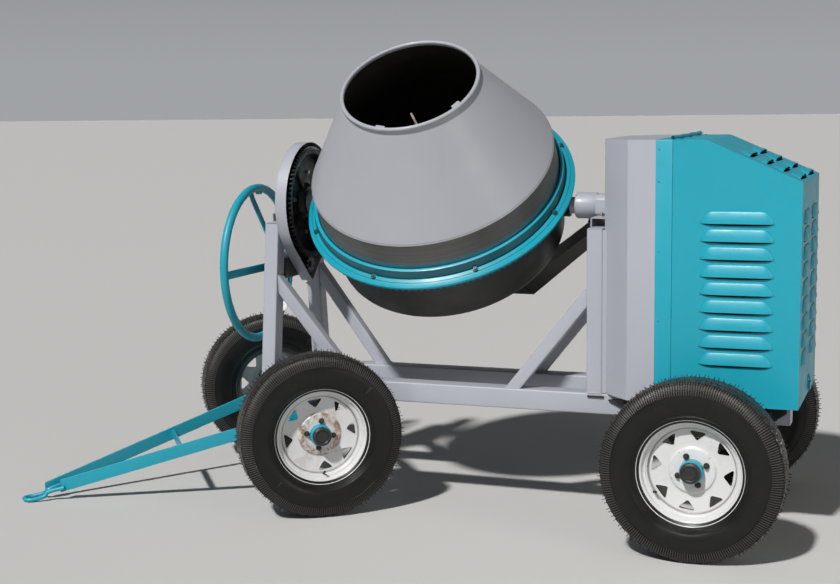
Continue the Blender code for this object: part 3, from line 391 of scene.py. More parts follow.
def to_mesh(name, bm, paint, sharp=35.0):
    """Turns a bmesh into a smooth mesh with its paint and its sharp edges."""
    bmesh.ops.recalc_face_normals(bm, faces=bm.faces)
    mesh = bpy.data.meshes.new(name)
    bm.to_mesh(mesh)
    bm.free()
    mesh.materials.append(PAINT[paint])
    mesh.shade_smooth()
    mesh.set_sharp_from_angle(angle=math.radians(sharp))
    return mesh


def put(name, mesh, body, matrix=None, replaces=()):
    """Places a mesh as a piece on a body, and keeps its own axes for the materials as an attribute."""
    mesh = mesh.copy()
    places = [0.0] * (3 * len(mesh.vertices))
    mesh.vertices.foreach_get("co", places)
    mesh.attributes.new("shape", "FLOAT_VECTOR", "POINT").data.foreach_set("vector", places)
    mesh.transform(matrix if matrix is not None else MACHINE)
    obj = bpy.data.objects.new(name, mesh)
    bpy.context.scene.collection.objects.link(obj)
    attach(obj, body)
    if replaces:
        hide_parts(*replaces)
    return obj


def show(name, bm, paint, sharp, body, replaces=(), matrix=None):
    """Makes a piece from a bmesh, in its body's frame and its paint's slot unless others are given."""
    mesh = to_mesh(name, bm, paint, sharp)
    return put(name, mesh, body, matrix or FRAMES[body], replaces)


def soften(obj, width=0.0015, segments=2, angle=35.0):
    """Rounds the sharp edges of a piece."""
    modifier = obj.modifiers.new("soften", "BEVEL")
    modifier.width = width
    modifier.segments = segments
    modifier.limit_method = "ANGLE"
    modifier.angle_limit = math.radians(angle)
    modifier.harden_normals = True
    return obj


def join(bm, part):
    """Adds one bmesh to another and frees it."""
    mesh = bpy.data.meshes.new("part")
    part.to_mesh(mesh)
    part.free()
    bm.from_mesh(mesh)
    bpy.data.meshes.remove(mesh)


def lathe(profile, segments, closed=True, offset=0.5, wobble=None):
    """Turns a profile of (radius, height) about Z. wobble may move each point."""
    bm = bmesh.new()
    loops = []
    for index, (radius, height) in enumerate(profile):
        if radius == 0:
            loops.append([bm.verts.new((0, 0, height))])
            continue
        loop = []
        for i in range(segments):
            angle = (i + offset) * TAU / segments
            r, h = wobble(index, i, radius, height) if wobble else (radius, height)
            loop.append(bm.verts.new((r * math.cos(angle), r * math.sin(angle), h)))
        loops.append(loop)
    skin(bm, loops, closed)
    return bm


def cut_out(mesh, cutter_mesh, crossing=False):
    """Cuts one mesh out of another. With crossing, the first mesh may overlap itself."""
    body = bpy.data.objects.new("body_work", mesh)
    cutter = bpy.data.objects.new("cutter_work", cutter_mesh)
    for obj in (body, cutter):
        bpy.context.scene.collection.objects.link(obj)
    modifier = body.modifiers.new("cut", "BOOLEAN")
    modifier.object = cutter
    modifier.solver = "EXACT"
    modifier.use_self = crossing
    graph = bpy.context.evaluated_depsgraph_get()
    cut = bpy.data.meshes.new_from_object(body.evaluated_get(graph))
    for obj in (body, cutter):
        bpy.data.objects.remove(obj)
    return cut


def rounded(points, radius, steps=4):
    """Rounds the corners of a closed 2-D outline."""
    out = []
    count = len(points)
    for i, corner in enumerate(points):
        corner = Vector(corner)
        before = Vector(points[i - 1]) - corner
        after = Vector(points[(i + 1) % count]) - corner
        r = radius[i] if isinstance(radius, (list, tuple)) else radius
        angle = before.angle(after)
        cut = min(r / math.tan(angle / 2), before.length * 0.48, after.length * 0.48)
        if cut < 1e-5 or angle > 3.1:
            out.append(tuple(corner))
            continue
        start, end = corner + before.normalized() * cut, corner + after.normalized() * cut
        for k in range(steps + 1):
            t = k / steps
            out.append(tuple(start * (1 - t) ** 2 + corner * 2 * t * (1 - t) + end * t ** 2))
    return out


def prism(outline, low, high, plane="XY", bm=None):
    """A flat outline pushed from low to high across its plane."""
    order = {"XY": (0, 1, 2), "XZ": (0, 2, 1), "YZ": (1, 2, 0)}[plane]
    bm = bm or bmesh.new()
    ends = []
    for level in (low, high):
        verts = []
        for u, v in outline:
            point = [0.0, 0.0, 0.0]
            point[order[0]], point[order[1]], point[order[2]] = u, v, level
            verts.append(bm.verts.new(point))
        ends.append(verts)
        bm.faces.new(verts)
    skin(bm, ends)
    return bm


def turned(bm, matrix):
    """Moves a whole bmesh."""
    bmesh.ops.transform(bm, matrix=matrix, verts=bm.verts)
    return bm


TO_X = Matrix.Rotation(math.pi / 2, 4, "Y")


def sweep(path, section, bm=None, closed=False, up=Z):
    """Carries a 2-D section (side, up) along a path."""
    bm = bm or bmesh.new()
    loops = []
    count = len(path)
    for i, point in enumerate(path):
        before = path[i - 1] if closed or i else path[i]
        after = path[(i + 1) % count] if closed or i < count - 1 else path[i]
        along = (after - before).normalized()
        side = along.cross(up).normalized()
        top = side.cross(along)
        loops.append([bm.verts.new(point + side * u + top * v) for u, v in section])
    skin(bm, loops, closed)
    if not closed:
        bm.faces.new(loops[0])
        bm.faces.new(loops[-1])
    return bm


def circle(radius, count=10):
    return [(radius * math.cos(TAU * i / count), radius * math.sin(TAU * i / count)) for i in range(count)]


def beam(start, end, width, depth, start_plane, end_plane, width_axis=X, wall=0.004, corner=0.006):
    """A rolled rectangular tube with rounded corners, cut off by two planes."""
    along = (Vector(end) - Vector(start)).normalized()
    side = (Vector(width_axis) - along * along.dot(Vector(width_axis))).normalized()
    other = along.cross(side)
    bm = bmesh.new()

    def loop(inset, plane):
        point, normal = Vector(plane[0]), Vector(plane[1])
        w, d = width / 2 - inset, depth / 2 - inset
        verts = []
        for a, b in rounded([(-w, -d), (w, -d), (w, d), (-w, d)], max(corner - inset, 0.001), 4):
            origin = Vector(start) + side * a + other * b
            reach = (point - origin).dot(normal) / along.dot(normal)
            verts.append(bm.verts.new(origin + along * reach))
        return verts

    outer = [loop(0, start_plane), loop(0, end_plane)]
    if wall:
        skin(bm, outer + [loop(wall, end_plane), loop(wall, start_plane)], True)
    else:
        skin(bm, outer)
        bm.faces.new(outer[0])
        bm.faces.new(outer[1])
    return bm


def weld(bm, path, radius=0.0035, closed=False, step=0.0028):
    """A rippled weld bead along a path of points."""
    points = [Vector(p) for p in path]
    if closed:
        points.append(points[0])
    dense = []
    for a, b in zip(points, points[1:]):
        count = max(1, int((b - a).length / step))
        dense += [a.lerp(b, k / count) for k in range(count)]
    dense.append(points[-1])
    loops = []
    for i, point in enumerate(dense):
        along = (dense[min(i + 1, len(dense) - 1)] - dense[max(i - 1, 0)]).normalized()
        side = along.cross(Z if abs(along.z) < 0.9 else X).normalized()
        top = side.cross(along)
        size = radius * (0.82 + 0.22 * math.sin(i * 2.1) + random.uniform(-0.08, 0.08))
        if i in (0, len(dense) - 1):
            size *= 0.4
        loops.append([bm.verts.new(point + (side * u + top * v) * size) for u, v in circle(1, 7)])
    skin(bm, loops)
    bm.faces.new(loops[0])
    bm.faces.new(loops[-1])
    return bm


def hex_bolt(bm, matrix, size=0.008, washer=True, stud=0.0):
    """Chamfered hexagon head on a washer, local Z pointing out; size is the shank's diameter."""
    across = size * 0.87
    base = 0.0
    made = []

    def ring(radius, height, count, hexagon=False):
        verts = []
        for i in range(count):
            angle = TAU * i / count
            r = radius
            if hexagon:
                r = radius / math.cos((angle + math.pi / 6) % (math.pi / 3) - math.pi / 6)
            verts.append(bm.verts.new((r * math.cos(angle), r * math.sin(angle), height)))
        made.extend(verts)
        return verts

    if washer:
        loops = [ring(size * 1.05, -0.001, 24), ring(size * 1.05, size * 0.16, 24),
                 ring(size * 0.9, size * 0.2, 24)]
        skin(bm, loops)
        bm.faces.new(loops[0])
        bm.faces.new(loops[-1])
        base = size * 0.2
    loops = [ring(across, base, 24, True), ring(across, base + size * 0.55, 24, True),
             ring(across * 0.96, base + size * 0.66, 24)]
    if stud:
        loops += [ring(size * 0.48, base + size * 0.67, 24), ring(size * 0.48, base + size * 0.67 + stud, 24),
                  ring(size * 0.38, base + size * 0.75 + stud, 24)]
    skin(bm, loops)
    bm.faces.new(loops[0])
    bm.faces.new(loops[-1])
    bmesh.ops.transform(bm, matrix=matrix, verts=made)


def facing(point, normal, spin=0.0):
    """A frame at a point with its Z axis along a normal."""
    turn = Vector(normal).to_track_quat("Z", "Y").to_matrix().to_4x4()
    return Matrix.Translation(point) @ turn @ Matrix.Rotation(spin, 4, "Z")


# ---------------------------------------------------------------- wheels


def tyre_mesh():
    """Ribbed shoulders, a grooved tread and mould marks on the wall."""
    outer = [
        (0.1690, 0.0560), (0.1800, 0.0645), (0.1835, 0.0652), (0.1865, 0.0665), (0.1890, 0.0700),
             (0.1905, 0.0706),
        (0.1925, 0.0704), (0.1990, 0.0735), (0.2080, 0.0772), (0.2200, 0.0800), (0.2330, 0.0812),
             (0.2450, 0.0808),
        (0.2560, 0.0790), (0.2592, 0.0784), (0.2600, 0.0794), (0.2625, 0.0790), (0.2632, 0.0776),
             (0.2650, 0.0768),
        (0.2660, 0.0764), (0.2740, 0.0744), (0.2830, 0.0712), (0.2900, 0.0676), (0.2940, 0.0650),
             (0.2955, 0.0640),
    ]
    rib_rows = range(18, 25)
    crown = [(0.2985, 0.0600), (0.3005, 0.0560)]
    grooves = [0.0510, 0.0170]
    tread = []
    for middle in grooves:
        for shift, depth in ((0.0030, 0.0), (0.0018, 0.0060), (-0.0018, 0.0060), (-0.0030, 0.0)):
            z = middle + shift
            tread.append((0.3012 + 0.0038 * (1 - (z / 0.056) ** 2) - depth, z))
    side = outer + crown + tread
    profile = side + [(r, -z) for r, z in reversed(side)]
    half = len(side)
    first_tread = len(outer) + len(crown)

    def wobble(index, i, radius, height):
        near = index if index < half else 2 * half - 1 - index
        sign = 1 if index < half else -1
        phase = i % 4
        if near in rib_rows and phase in (0, 1):
            return radius - 0.0012, height - sign * 0.0030
        if near >= first_tread:
            zigzag = 0.0034 * math.sin(TAU * i / 16) * (1 if near < first_tread + 4 else -1)
            return radius, height + zigzag
        return radius, height

    bm = lathe(profile, RIBS * 4, wobble=wobble)
    for i in range(8):
        angle = TAU * (i + 0.3) / 8
        out = Vector((math.cos(angle), math.sin(angle), 0))
        for sign in (-1, 1):
            outline = ((0.2200, 0.0800), (0.2330, 0.0812), (0.2450, 0.0808), (0.2560, 0.0790))
            points = [out * r + Z * sign * z for r, z in outline]
            sweep(points, circle(0.0006, 4), bm)
    return to_mesh("tyre", bm, "tyre", 42)


def add_hairs(place, body, matrix):
    """Moulding hairs along the tread's edges, left out where they would reach the ground or pass the frame."""
    bm = bmesh.new()
    low, high = (Vector(corner) for corner in CAD_BOX)
    for z in (-0.0590, -0.0300, 0.0300, 0.0590):
        for i in range(118):
            angle = TAU * (i + random.uniform(-0.3, 0.3)) / 118
            out = Vector((math.cos(angle), math.sin(angle), 0))
            base = out * (0.2975 if abs(z) > 0.05 else 0.3020) + Z * z
            lean = Vector((-out.y, out.x, 0)) * random.uniform(-0.003, 0.003) + Z * math.copysign(0.0015, z)
            tip = base + out * random.uniform(0.009, 0.014) * (1 if abs(z) > 0.05 else 0.6) + lean
            world = matrix @ tip
            inside = all(low[k] + 0.001 < world[k] < high[k] - 0.001 for k in range(3))
            if inside and world.z > 0.030:
                sweep([base, tip], circle(0.0012, 4), bm)
    show(f"tyre_{place}_hairs", bm, "tyre", 42, body, matrix=matrix)


def rim_mesh(paint):
    """Drop-centre barrel with its weld to the disc."""
    front = [
        (0.1802, 0.0622), (0.1812, 0.0630), (0.1815, 0.0635), (0.1805, 0.0635), (0.1785, 0.0634),
             (0.1768, 0.0622),
        (0.1758, 0.0590), (0.1750, 0.0558), (0.1735, 0.0540), (0.1700, 0.0532), (0.1660, 0.0526),
             (0.1640, 0.0514),
        (0.1625, 0.0480), (0.1612, 0.0400), (0.1600, 0.0348), (0.1580, 0.0325), (0.1540, 0.0315),
             (0.1505, 0.0302),
        (0.1480, 0.0270), (0.1468, 0.0220), (0.1462, 0.0150),
    ]
    back = [
        (0.1462, -0.0380), (0.1480, -0.0430), (0.1600, -0.0470), (0.1640, -0.0540), (0.1735, -0.0560),
        (0.1760, -0.0610), (0.1795, -0.0635), (0.1812, -0.0635), (0.1812, -0.0620), (0.1780, -0.0580),
        (0.1750, -0.0530), (0.1660, -0.0505), (0.1630, -0.0440), (0.1500, -0.0400), (0.1490, 0.0200),
        (0.1525, 0.0332), (0.1600, 0.0350), (0.1640, 0.0500), (0.1660, 0.0512), (0.1750, 0.0540),
            (0.1785, 0.0600),
    ]
    bm = lathe(front + back, 144)
    sweep([Vector((0.1484 * math.cos(a), 0.1484 * math.sin(a), 0.0265)) for a in
           [TAU * k / 72 for k in range(72)]], circle(0.0012, 6), bm, closed=True)
    return to_mesh(f"{paint}_barrel", bm, paint, 40)


def window_outline(turn):
    """One rounded triangle, pointing at the hub."""
    corners = []
    for radius, across in ((0.0990, 0.0), (0.1345, -0.0335), (0.1345, 0.0335)):
        corners.append((radius * math.cos(turn) - across * math.sin(turn),
                        radius * math.sin(turn) + across * math.cos(turn)))
    return rounded(corners, (0.0090, 0.0075, 0.0075), 5)


def disc_mesh(paint):
    """Pressed wheel disc with a raised boss and eight rounded windows."""
    face = [
        (0.0362, 0.0165), (0.0700, 0.0165), (0.0735, 0.0162), (0.0762, 0.0146), (0.0780, 0.0118),
            (0.0800, 0.0104),
        (0.0840, 0.0098), (0.0950, 0.0106), (0.1100, 0.0118), (0.1250, 0.0126), (0.1360, 0.0130),
            (0.1410, 0.0132),
        (0.1440, 0.0150), (0.1456, 0.0185),
    ]
    profile = face + [(r if r > 0.04 else 0.0362, z - 0.0035) for r, z in reversed(face)]
    windows = bmesh.new()
    for i in range(8):
        prism(window_outline((i + 0.5) * TAU / 8), -0.02, 0.04, "XY", windows)
    cut = cut_out(to_mesh("disc_work", lathe(profile, 128), paint), to_mesh("windows_work", windows, paint))
    bm = bmesh.new()
    bm.from_mesh(cut)
    for i in range(8):
        outline = window_outline((i + 0.5) * TAU / 8)
        rim = []
        for x, y in outline:
            r = math.hypot(x, y)
            z = 0.0106 + (r - 0.095) * 0.06
            rim.append(Vector((x, y, z - 0.0002)))
        sweep(rim, circle(0.0013, 6), bm, closed=True)
    return to_mesh(f"{paint}_disc", bm, paint, 32)


def hub_mesh():
    """Hub with its flange behind the disc."""
    profile = [
        (0.0215, 0.0100), (0.0362, 0.0100), (0.0395, 0.0172), (0.0393, 0.0400), (0.0385, 0.0450),
               (0.0365, 0.0475),
        (0.0340, 0.0480), (0.0320, 0.0465), (0.0215, 0.0460),
    ]
    bm = lathe(profile, 72)
    back = [(0.0352, 0.0098), (0.0640, 0.0080), (0.0680, 0.0060), (0.0680, 0.0000), (0.0620, -0.0020),
            (0.0450, -0.0040), (0.0410, -0.0500), (0.0390, -0.0520), (0.0215, -0.0520), (0.0215, 0.0098)]
    part = lathe(back, 72)
    join(bm, part)
    return to_mesh("hub", bm, "teal_worn", 38)


def cap_mesh():
    """Plastic hub cap with a hexagon on its end."""
    profile = [(0.0205, 0.0465), (0.0345, 0.0465), (0.0348, 0.0560), (0.0340, 0.0612), (0.0315, 0.0638),
               (0.0262, 0.0650), (0.0240, 0.0640), (0.0225, 0.0622)]
    bm = lathe(profile + [(0, 0.0618), (0, 0.0480)], 60, closed=False)
    nut = [(0.0195 / math.cos((a + math.pi / 6) % (math.pi / 3) - math.pi / 6), a) for a in
           [TAU * k / 36 for k in range(36)]]
    outline = [(r * math.cos(a), r * math.sin(a)) for r, a in nut]
    prism(outline, 0.0600, 0.0642, "XY", bm)
    return to_mesh("hub_cap", bm, "plastic", 35)


def fixings_mesh():
    """Four wheel nuts on their studs."""
    bm = bmesh.new()
    for k in range(4):
        angle = math.radians(7.8 + 90 * k)
        point = Vector((0.0508 * math.cos(angle), 0.0508 * math.sin(angle), 0.0164))
        hex_bolt(bm, facing(point, Z, angle), 0.0100, washer=True, stud=0.006)
    return to_mesh("wheel_nuts", bm, "dark_steel", 30)


def valve_mesh():
    """Rubber valve stem."""
    stem = [(0, 0.0), (0.0045, 0.0), (0.0052, 0.0030), (0.0036, 0.0060), (0.0034, 0.0230), (0.0042, 0.0235),
            (0.0042, 0.0310), (0.0030, 0.0320), (0, 0.0320)]
    bm = lathe(stem, 20, closed=False)
    turned(bm, facing((-0.1400, -0.0450, 0.0240), Vector((0.42, 0.135, 0.9))))
    return to_mesh("valve", bm, "plastic", 40)


def add_wheels():
    """Every wheel shares its meshes; the spin is how far each one has turned in the photo."""
    tyre = tyre_mesh()
    hub, cap, fixings, valve = hub_mesh(), cap_mesh(), fixings_mesh(), valve_mesh()
    barrels = {paint: (rim_mesh(paint), disc_mesh(paint)) for paint in ("rim", "rim_rusty")}
    spins = {"rear_near": 14.9, "rear_far": 40, "front_near": 75.5, "front_far": 25}
    for place, spin in spins.items():
        joint = JOINTS[f"{place}_wheel_spin"]
        out = Vector(joint["axis"]) * (-1 if "near" in place else 1)
        right = Z.cross(out)
        base = Matrix((right, Z, out)).transposed().to_4x4()
        matrix = Matrix.Translation(joint["pos_m"]) @ base @ Matrix.Rotation(math.radians(spin), 4, "Z")
        body = f"wheel_{place}"
        put(f"tyre_{place}_moulded", tyre, body, matrix, (f"tyre_{place}",))
        add_hairs(place, body, matrix)
        barrel, disc = barrels["rim_rusty" if place == "front_near" else "rim"]
        put(f"rim_{place}_barrel", barrel, body, matrix, (f"rim_{place}",))
        put(f"rim_{place}_disc", disc, body, matrix)
        put(f"hub_{place}_turned", hub, body, matrix, (f"hub_{place}",))
        put(f"hub_{place}_cap", cap, body, matrix)
        put(f"wheel_nuts_{place}", fixings, body, matrix)
        put(f"valve_{place}", valve, body, matrix)


# ---------------------------------------------------------------- drum
SEAM_RADIUS = 0.4650
MOUTH = (0.2455, 0.565)
SHOULDER = (0.4600, 0.2150)


def slide(a, b, share):
    """The point at a share of the way from a to b."""
    return tuple(p + (q - p) * share for p, q in zip(a, b))


def add_drum():
    """Cone, mouth ring, bare band, bowl, flange with its bolts, and ring gear."""
    count = 256
    outer = [slide(MOUTH, SHOULDER, k / 12) for k in range(13)]
    inner = [(r - 0.0030, h - 0.0022) for r, h in reversed(outer)]
    show("drum_cone_rolled", lathe(outer + inner, count), "grey_drum", 30, "drum", ("drum_cone",))

    ring = [(0.2487 + 0.0073 * math.cos(TAU * k / 16),
             0.5697 + 0.0073 * math.sin(TAU * k / 16)) for k in range(16)]
    show("drum_mouth_ring", lathe(ring, count), "grey_drum", 60, "drum")

    band = [(0.4568, 0.2210), (0.4590, 0.1900), (0.4618, 0.1300), (SEAM_RADIUS, 0.0705),
            (SEAM_RADIUS - 0.003, 0.0705), (0.4588, 0.1300), (0.4535, 0.2210)]
    show("drum_band", lathe(band, count), "band", 30, "drum")

    liner = [slide((0.2420, 0.5610), (0.4520, 0.2180), k / 8) for k in range(9)]
    liner += [(0.4600, 0.1000), (0.4600, 0.0200), (0.4360, -0.1540), (0.4220, -0.1830), (0.3730, -0.2270),
              (0.3000, -0.2640), (0.2180, -0.3020), (0.1200, -0.3170), (0, -0.3240)]
    show("drum_liner", lathe(liner, 128, closed=False), "inside", 30, "drum")

    wall = [(SEAM_RADIUS, 0.0700), (SEAM_RADIUS, 0.0250), (0.4638, 0.0080), (0.4425, -0.1480),
            (0.4400, -0.1580),
            (0.4350, -0.1680), (0.4270, -0.1780), (0.4150, -0.1895), (0.3800, -0.2195), (0.3300, -0.2515),
            (0.2750, -0.2775), (0.2150, -0.2985), (0.1500, -0.3145), (0.0800, -0.3255), (0, -0.3295)]
    back = [(r - 0.0032 if r > 0.01 else 0, h + (0.0035 if h < -0.16 else 0.0)) for r, h in reversed(wall)]
    show("drum_bowl_spun", lathe(wall + back, count), "bowl", 28, "drum", ("drum_bowl",))

    flange = [
        (0.4656, 0.1090), (0.4664, 0.1110), (0.4680, 0.1120), (0.4765, 0.1110), (0.4785, 0.1098),
              (0.4795, 0.1075),
        (0.4792, 0.0740), (0.4800, 0.0722), (0.4838, 0.0718), (0.4846, 0.0752), (0.4860, 0.0760),
              (0.4962, 0.0706),
        (0.4967, 0.0684), (0.4979, 0.0680), (0.4986, 0.0694),
        (0.5118, 0.0622), (0.5136, 0.0606), (0.5140, 0.0585), (0.5136, 0.0545), (0.5124, 0.0515),
              (0.5105, 0.0500),
        (0.4656, 0.0500),
    ]
    show("drum_flange_pressed", lathe(flange, count), "teal_flange", 25, "drum", ("drum_flange_ring",))

    bm = bmesh.new()
    for k in range(8):
        angle = math.radians(30.5 + 45 * k)
        out = Vector((math.cos(angle), math.sin(angle), 0))
        hex_bolt(bm, facing(out * 0.4885 + Z * 0.0735, Vector((out.x * 0.44, out.y * 0.44, 0.9)), angle),
                 0.0100,
                 stud=0.004)
    show("drum_flange_bolts", bm, "teal_bolt", 30, "drum")

    teeth = 132
    root, tip, top = 0.0470, 0.0350, 0.0497
    loops = [[], [], [], []]
    bm = bmesh.new()
    for i in range(teeth):
        for share, low in ((-0.22, root), (0.22, root), (0.34, tip), (0.66, tip)):
            angle = (i + share) * TAU / teeth
            for loop, (radius, height) in zip(loops, ((0.4658, low), (0.5050, low), (0.5050, top),
                                                      (0.4658, top))):
                loop.append(bm.verts.new((radius * math.cos(angle), radius * math.sin(angle), height)))
    skin(bm, loops, True)
    show("drum_ring_gear_cut", bm, "ring_gear", 30, "drum", ("drum_ring_gear",))
    add_drum_inside()


def add_drum_inside():
    """Two folded mixing blades, and their bent tabs just inside the mouth."""
    for turn, word in ((0.0, "a"), (math.pi, "b")):
        bm = bmesh.new()
        outline = [(0.2700, -0.2740), (0.3720, -0.2215), (0.4330, -0.1520), (0.4560, 0.0200),
                   (0.4550, 0.0700),
                   (0.4515, 0.2100), (0.3330, 0.4000), (0.2600, 0.4000), (0.3450, 0.1800), (0.3300, -0.0800),
                   (0.2700, -0.1600)]
        prism(rounded(outline, 0.012, 4), -0.0028, 0.0028, "XZ", bm)
        fold = [Vector((x, 0.0, z)) for x, z in ((0.2605, 0.395), (0.3460, 0.180), (0.3310, -0.078),
                                                 (0.272, -0.158))]
        sweep(fold, rounded([(-0.004, -0.003), (0.022, -0.003), (0.022, 0.003), (-0.004, 0.003)], 0.002, 2),
              bm,
              up=Y)
        turned(bm, Matrix.Rotation(turn, 4, "Z"))
        show(f"mixing_blade_{word}_folded", bm, "inside", 30, "drum", (f"mixing_blade_{word}",))
    bm = bmesh.new()
    for degrees, length in ((259.0, 0.013), (330.5, 0.018)):
        tab = prism(rounded([(-0.0190, 0.0), (0.0190, 0.0), (0.0175, -length), (-0.0175, -length)], 0.003, 3),
                    -0.0017, 0.0017, "XY")
        turned(tab, Matrix.Rotation(math.radians(degrees), 4, "Z") @ Matrix.Translation((0.2430, 0, 0.5655))
               @ Matrix.Rotation(-math.pi / 2, 4, "Z") @ Matrix.Rotation(math.radians(-14), 4, "X")
               @ Matrix.Rotation(math.pi, 4, "Z") @ Matrix.Scale(-1, 4, Y))
        join(bm, tab)
    show("drum_mouth_tabs", bm, "grey_drum", 30, "drum")
    bm = bmesh.new()
    turn = Matrix.Rotation(math.radians(292.75), 4, "Z")
    points = [turn @ Vector(p) for p in ((0.2400, 0.0, 0.5480), (0.1950, -0.008, 0.5500),
                                         (0.1500, -0.016, 0.5540))]
    sweep(points, rounded([(-0.004, -0.005), (0.004, -0.005), (0.004, 0.005), (-0.004, 0.005)], 0.002, 2), bm)
    show("drum_splash_bars", bm, "bar_steel", 30, "drum")


# ---------------------------------------------------------------- cradle, tilt gear and drive
def gear_outline(teeth, pitch_radius, module, tooth_angle):
    """Involute-like teeth with rounded tips."""
    pitch = TAU / teeth
    points = []
    for i in range(teeth):
        middle = tooth_angle + i * pitch
        for share, height in ((-0.40, -1.25), (-0.33, -1.20), (-0.235, 0.0), (-0.15, 0.85), (-0.10, 1.0),
                              (0.10, 1.0), (0.15, 0.85), (0.235, 0.0), (0.33, -1.20), (0.40, -1.25)):
            radius = pitch_radius + height * module
            points.append((radius * math.cos(middle + share * pitch),
                           radius * math.sin(middle + share * pitch)))
    return points


GEAR_LEFT, GEAR_RIGHT = -1.636 + TRUNNION_BACK, -1.588 + TRUNNION_BACK


def add_cradle():
    """Channel yoke under the drum, the drum's pivot bearing and both trunnions."""
    base, top = -0.440, -0.388
    left, right = -0.5400, 0.5975
    outline = [
        (-0.290, base), (0.290, base), (right, -0.133), (right, -0.0484), (0.562, -0.0484), (0.562, -0.102),
        (0.245, top), (-0.245, top), (-0.504, -0.140), (-0.504, -0.0454), (left, -0.0454), (left, -0.210),
    ]

    def inset(amount):
        points = []
        count = len(outline)
        for i, corner in enumerate(outline):
            p, before, after = Vector(corner), Vector(outline[i - 1]), Vector(outline[(i + 1) % count])
            n1 = Vector(((p - before).y, -(p - before).x)).normalized()
            n2 = Vector(((after - p).y, -(after - p).x)).normalized()
            bisector = (n1 + n2).normalized()
            points.append(tuple(p - bisector * amount / max(0.4, bisector.dot(n1))))
        return points

    web = prism(outline, -0.0400, -0.0330, "XZ")
    bm = bmesh.new()
    loops = []
    for points, y in ((outline, 0.0400), (outline, -0.0330), (inset(0.0065), -0.0330),
                      (inset(0.0065), 0.0400)):
        loops.append([bm.verts.new((x, y, s)) for x, s in points])
    skin(bm, loops, True)
    join(bm, web)
    for x0, s0, x1, s1 in ((0.293, -0.437, 0.248, -0.391), (-0.293, -0.437, -0.248, -0.391),
                           (-0.538, -0.208, -0.506, -0.142)):
        weld(bm, [(x0, -0.0405, s0), (x1, -0.0405, s1)], 0.0035)
    # Grey patch on the yoke's web: painted light, the yoke's own grey where the light reaches it.
    patch = prism(rounded([(0.5580, -0.1090), (0.5940, -0.0760), (0.5940, -0.1230), (0.5580, -0.1560)],
                          0.004, 3),
                  -0.0410, -0.0400, "XZ")
    show("yoke_overspray", patch, "grey", 30, "cradle")
    # The yoke is painted black as painted shade; its own paint is the grey of the patch.
    yoke = show("yoke_frame_channel", bm, "black", 30, "cradle", ("yoke_frame",))
    soften(yoke, 0.0018)

    pads = bmesh.new()
    for x in (-0.075, 0.075):
        hex_bolt(pads, facing((x, 0.0, base), -Z, 0.2), 0.014)
    hex_bolt(pads, facing((0.0, 0.0, base), -Z, 0.2), 0.024, stud=0.010)
    show("yoke_bearing_bolts", pads, "zinc", 30, "cradle")
    shaft = lathe([(0, top + 0.0003), (0.070, top + 0.0003), (0.070, top + 0.012), (0.048, top + 0.016),
                   (0.040, -0.3560), (0.0520, -0.3500), (0.0520, -0.3420), (0, -0.3420)], 48, closed=False)
    show("drum_pivot_bearing", shaft, "gear", 35, "cradle")

    r = TRUNNION_BACK
    tube = [
        (0.0190, r - 0.5480), (0.0290, r - 0.5480), (0.0310, r - 0.5460), (0.0310, r - 0.5250),
            (0.0440, r - 0.5250),
        (0.0478, r - 0.5205), (0.0478, r - 0.4505), (0.0455, r - 0.4470), (0.0300, r - 0.4470),
            (0.0300, r - 0.3780),
        (0.0190, r - 0.3780),
    ]
    bm = turned(lathe(tube, 72), TO_X)
    weld(bm, [((r - 0.5252), 0.0325 * math.cos(a),
               0.0325 * math.sin(a)) for a in [TAU * k / 30 for k in range(30)]],
         0.0032, closed=True)
    show("trunnion_right_turned", bm, "grey", 35, "cradle", ("trunnion_right",))

    left_end = -1.7040 + TRUNNION_BACK
    tube = [(0, left_end), (0.0235, left_end), (0.0250, left_end + 0.0015), (0.0250, -0.5850),
            (0.0450, -0.5850),
            (0.0450, -0.5200), (0.0420, -0.5170), (0, -0.5170)]
    bm = turned(lathe(tube, 72, closed=False), TO_X)
    show("trunnion_left_turned", bm, "grey", 35, "cradle", ("trunnion_left",))
    add_tilt_gear()
    add_drive()


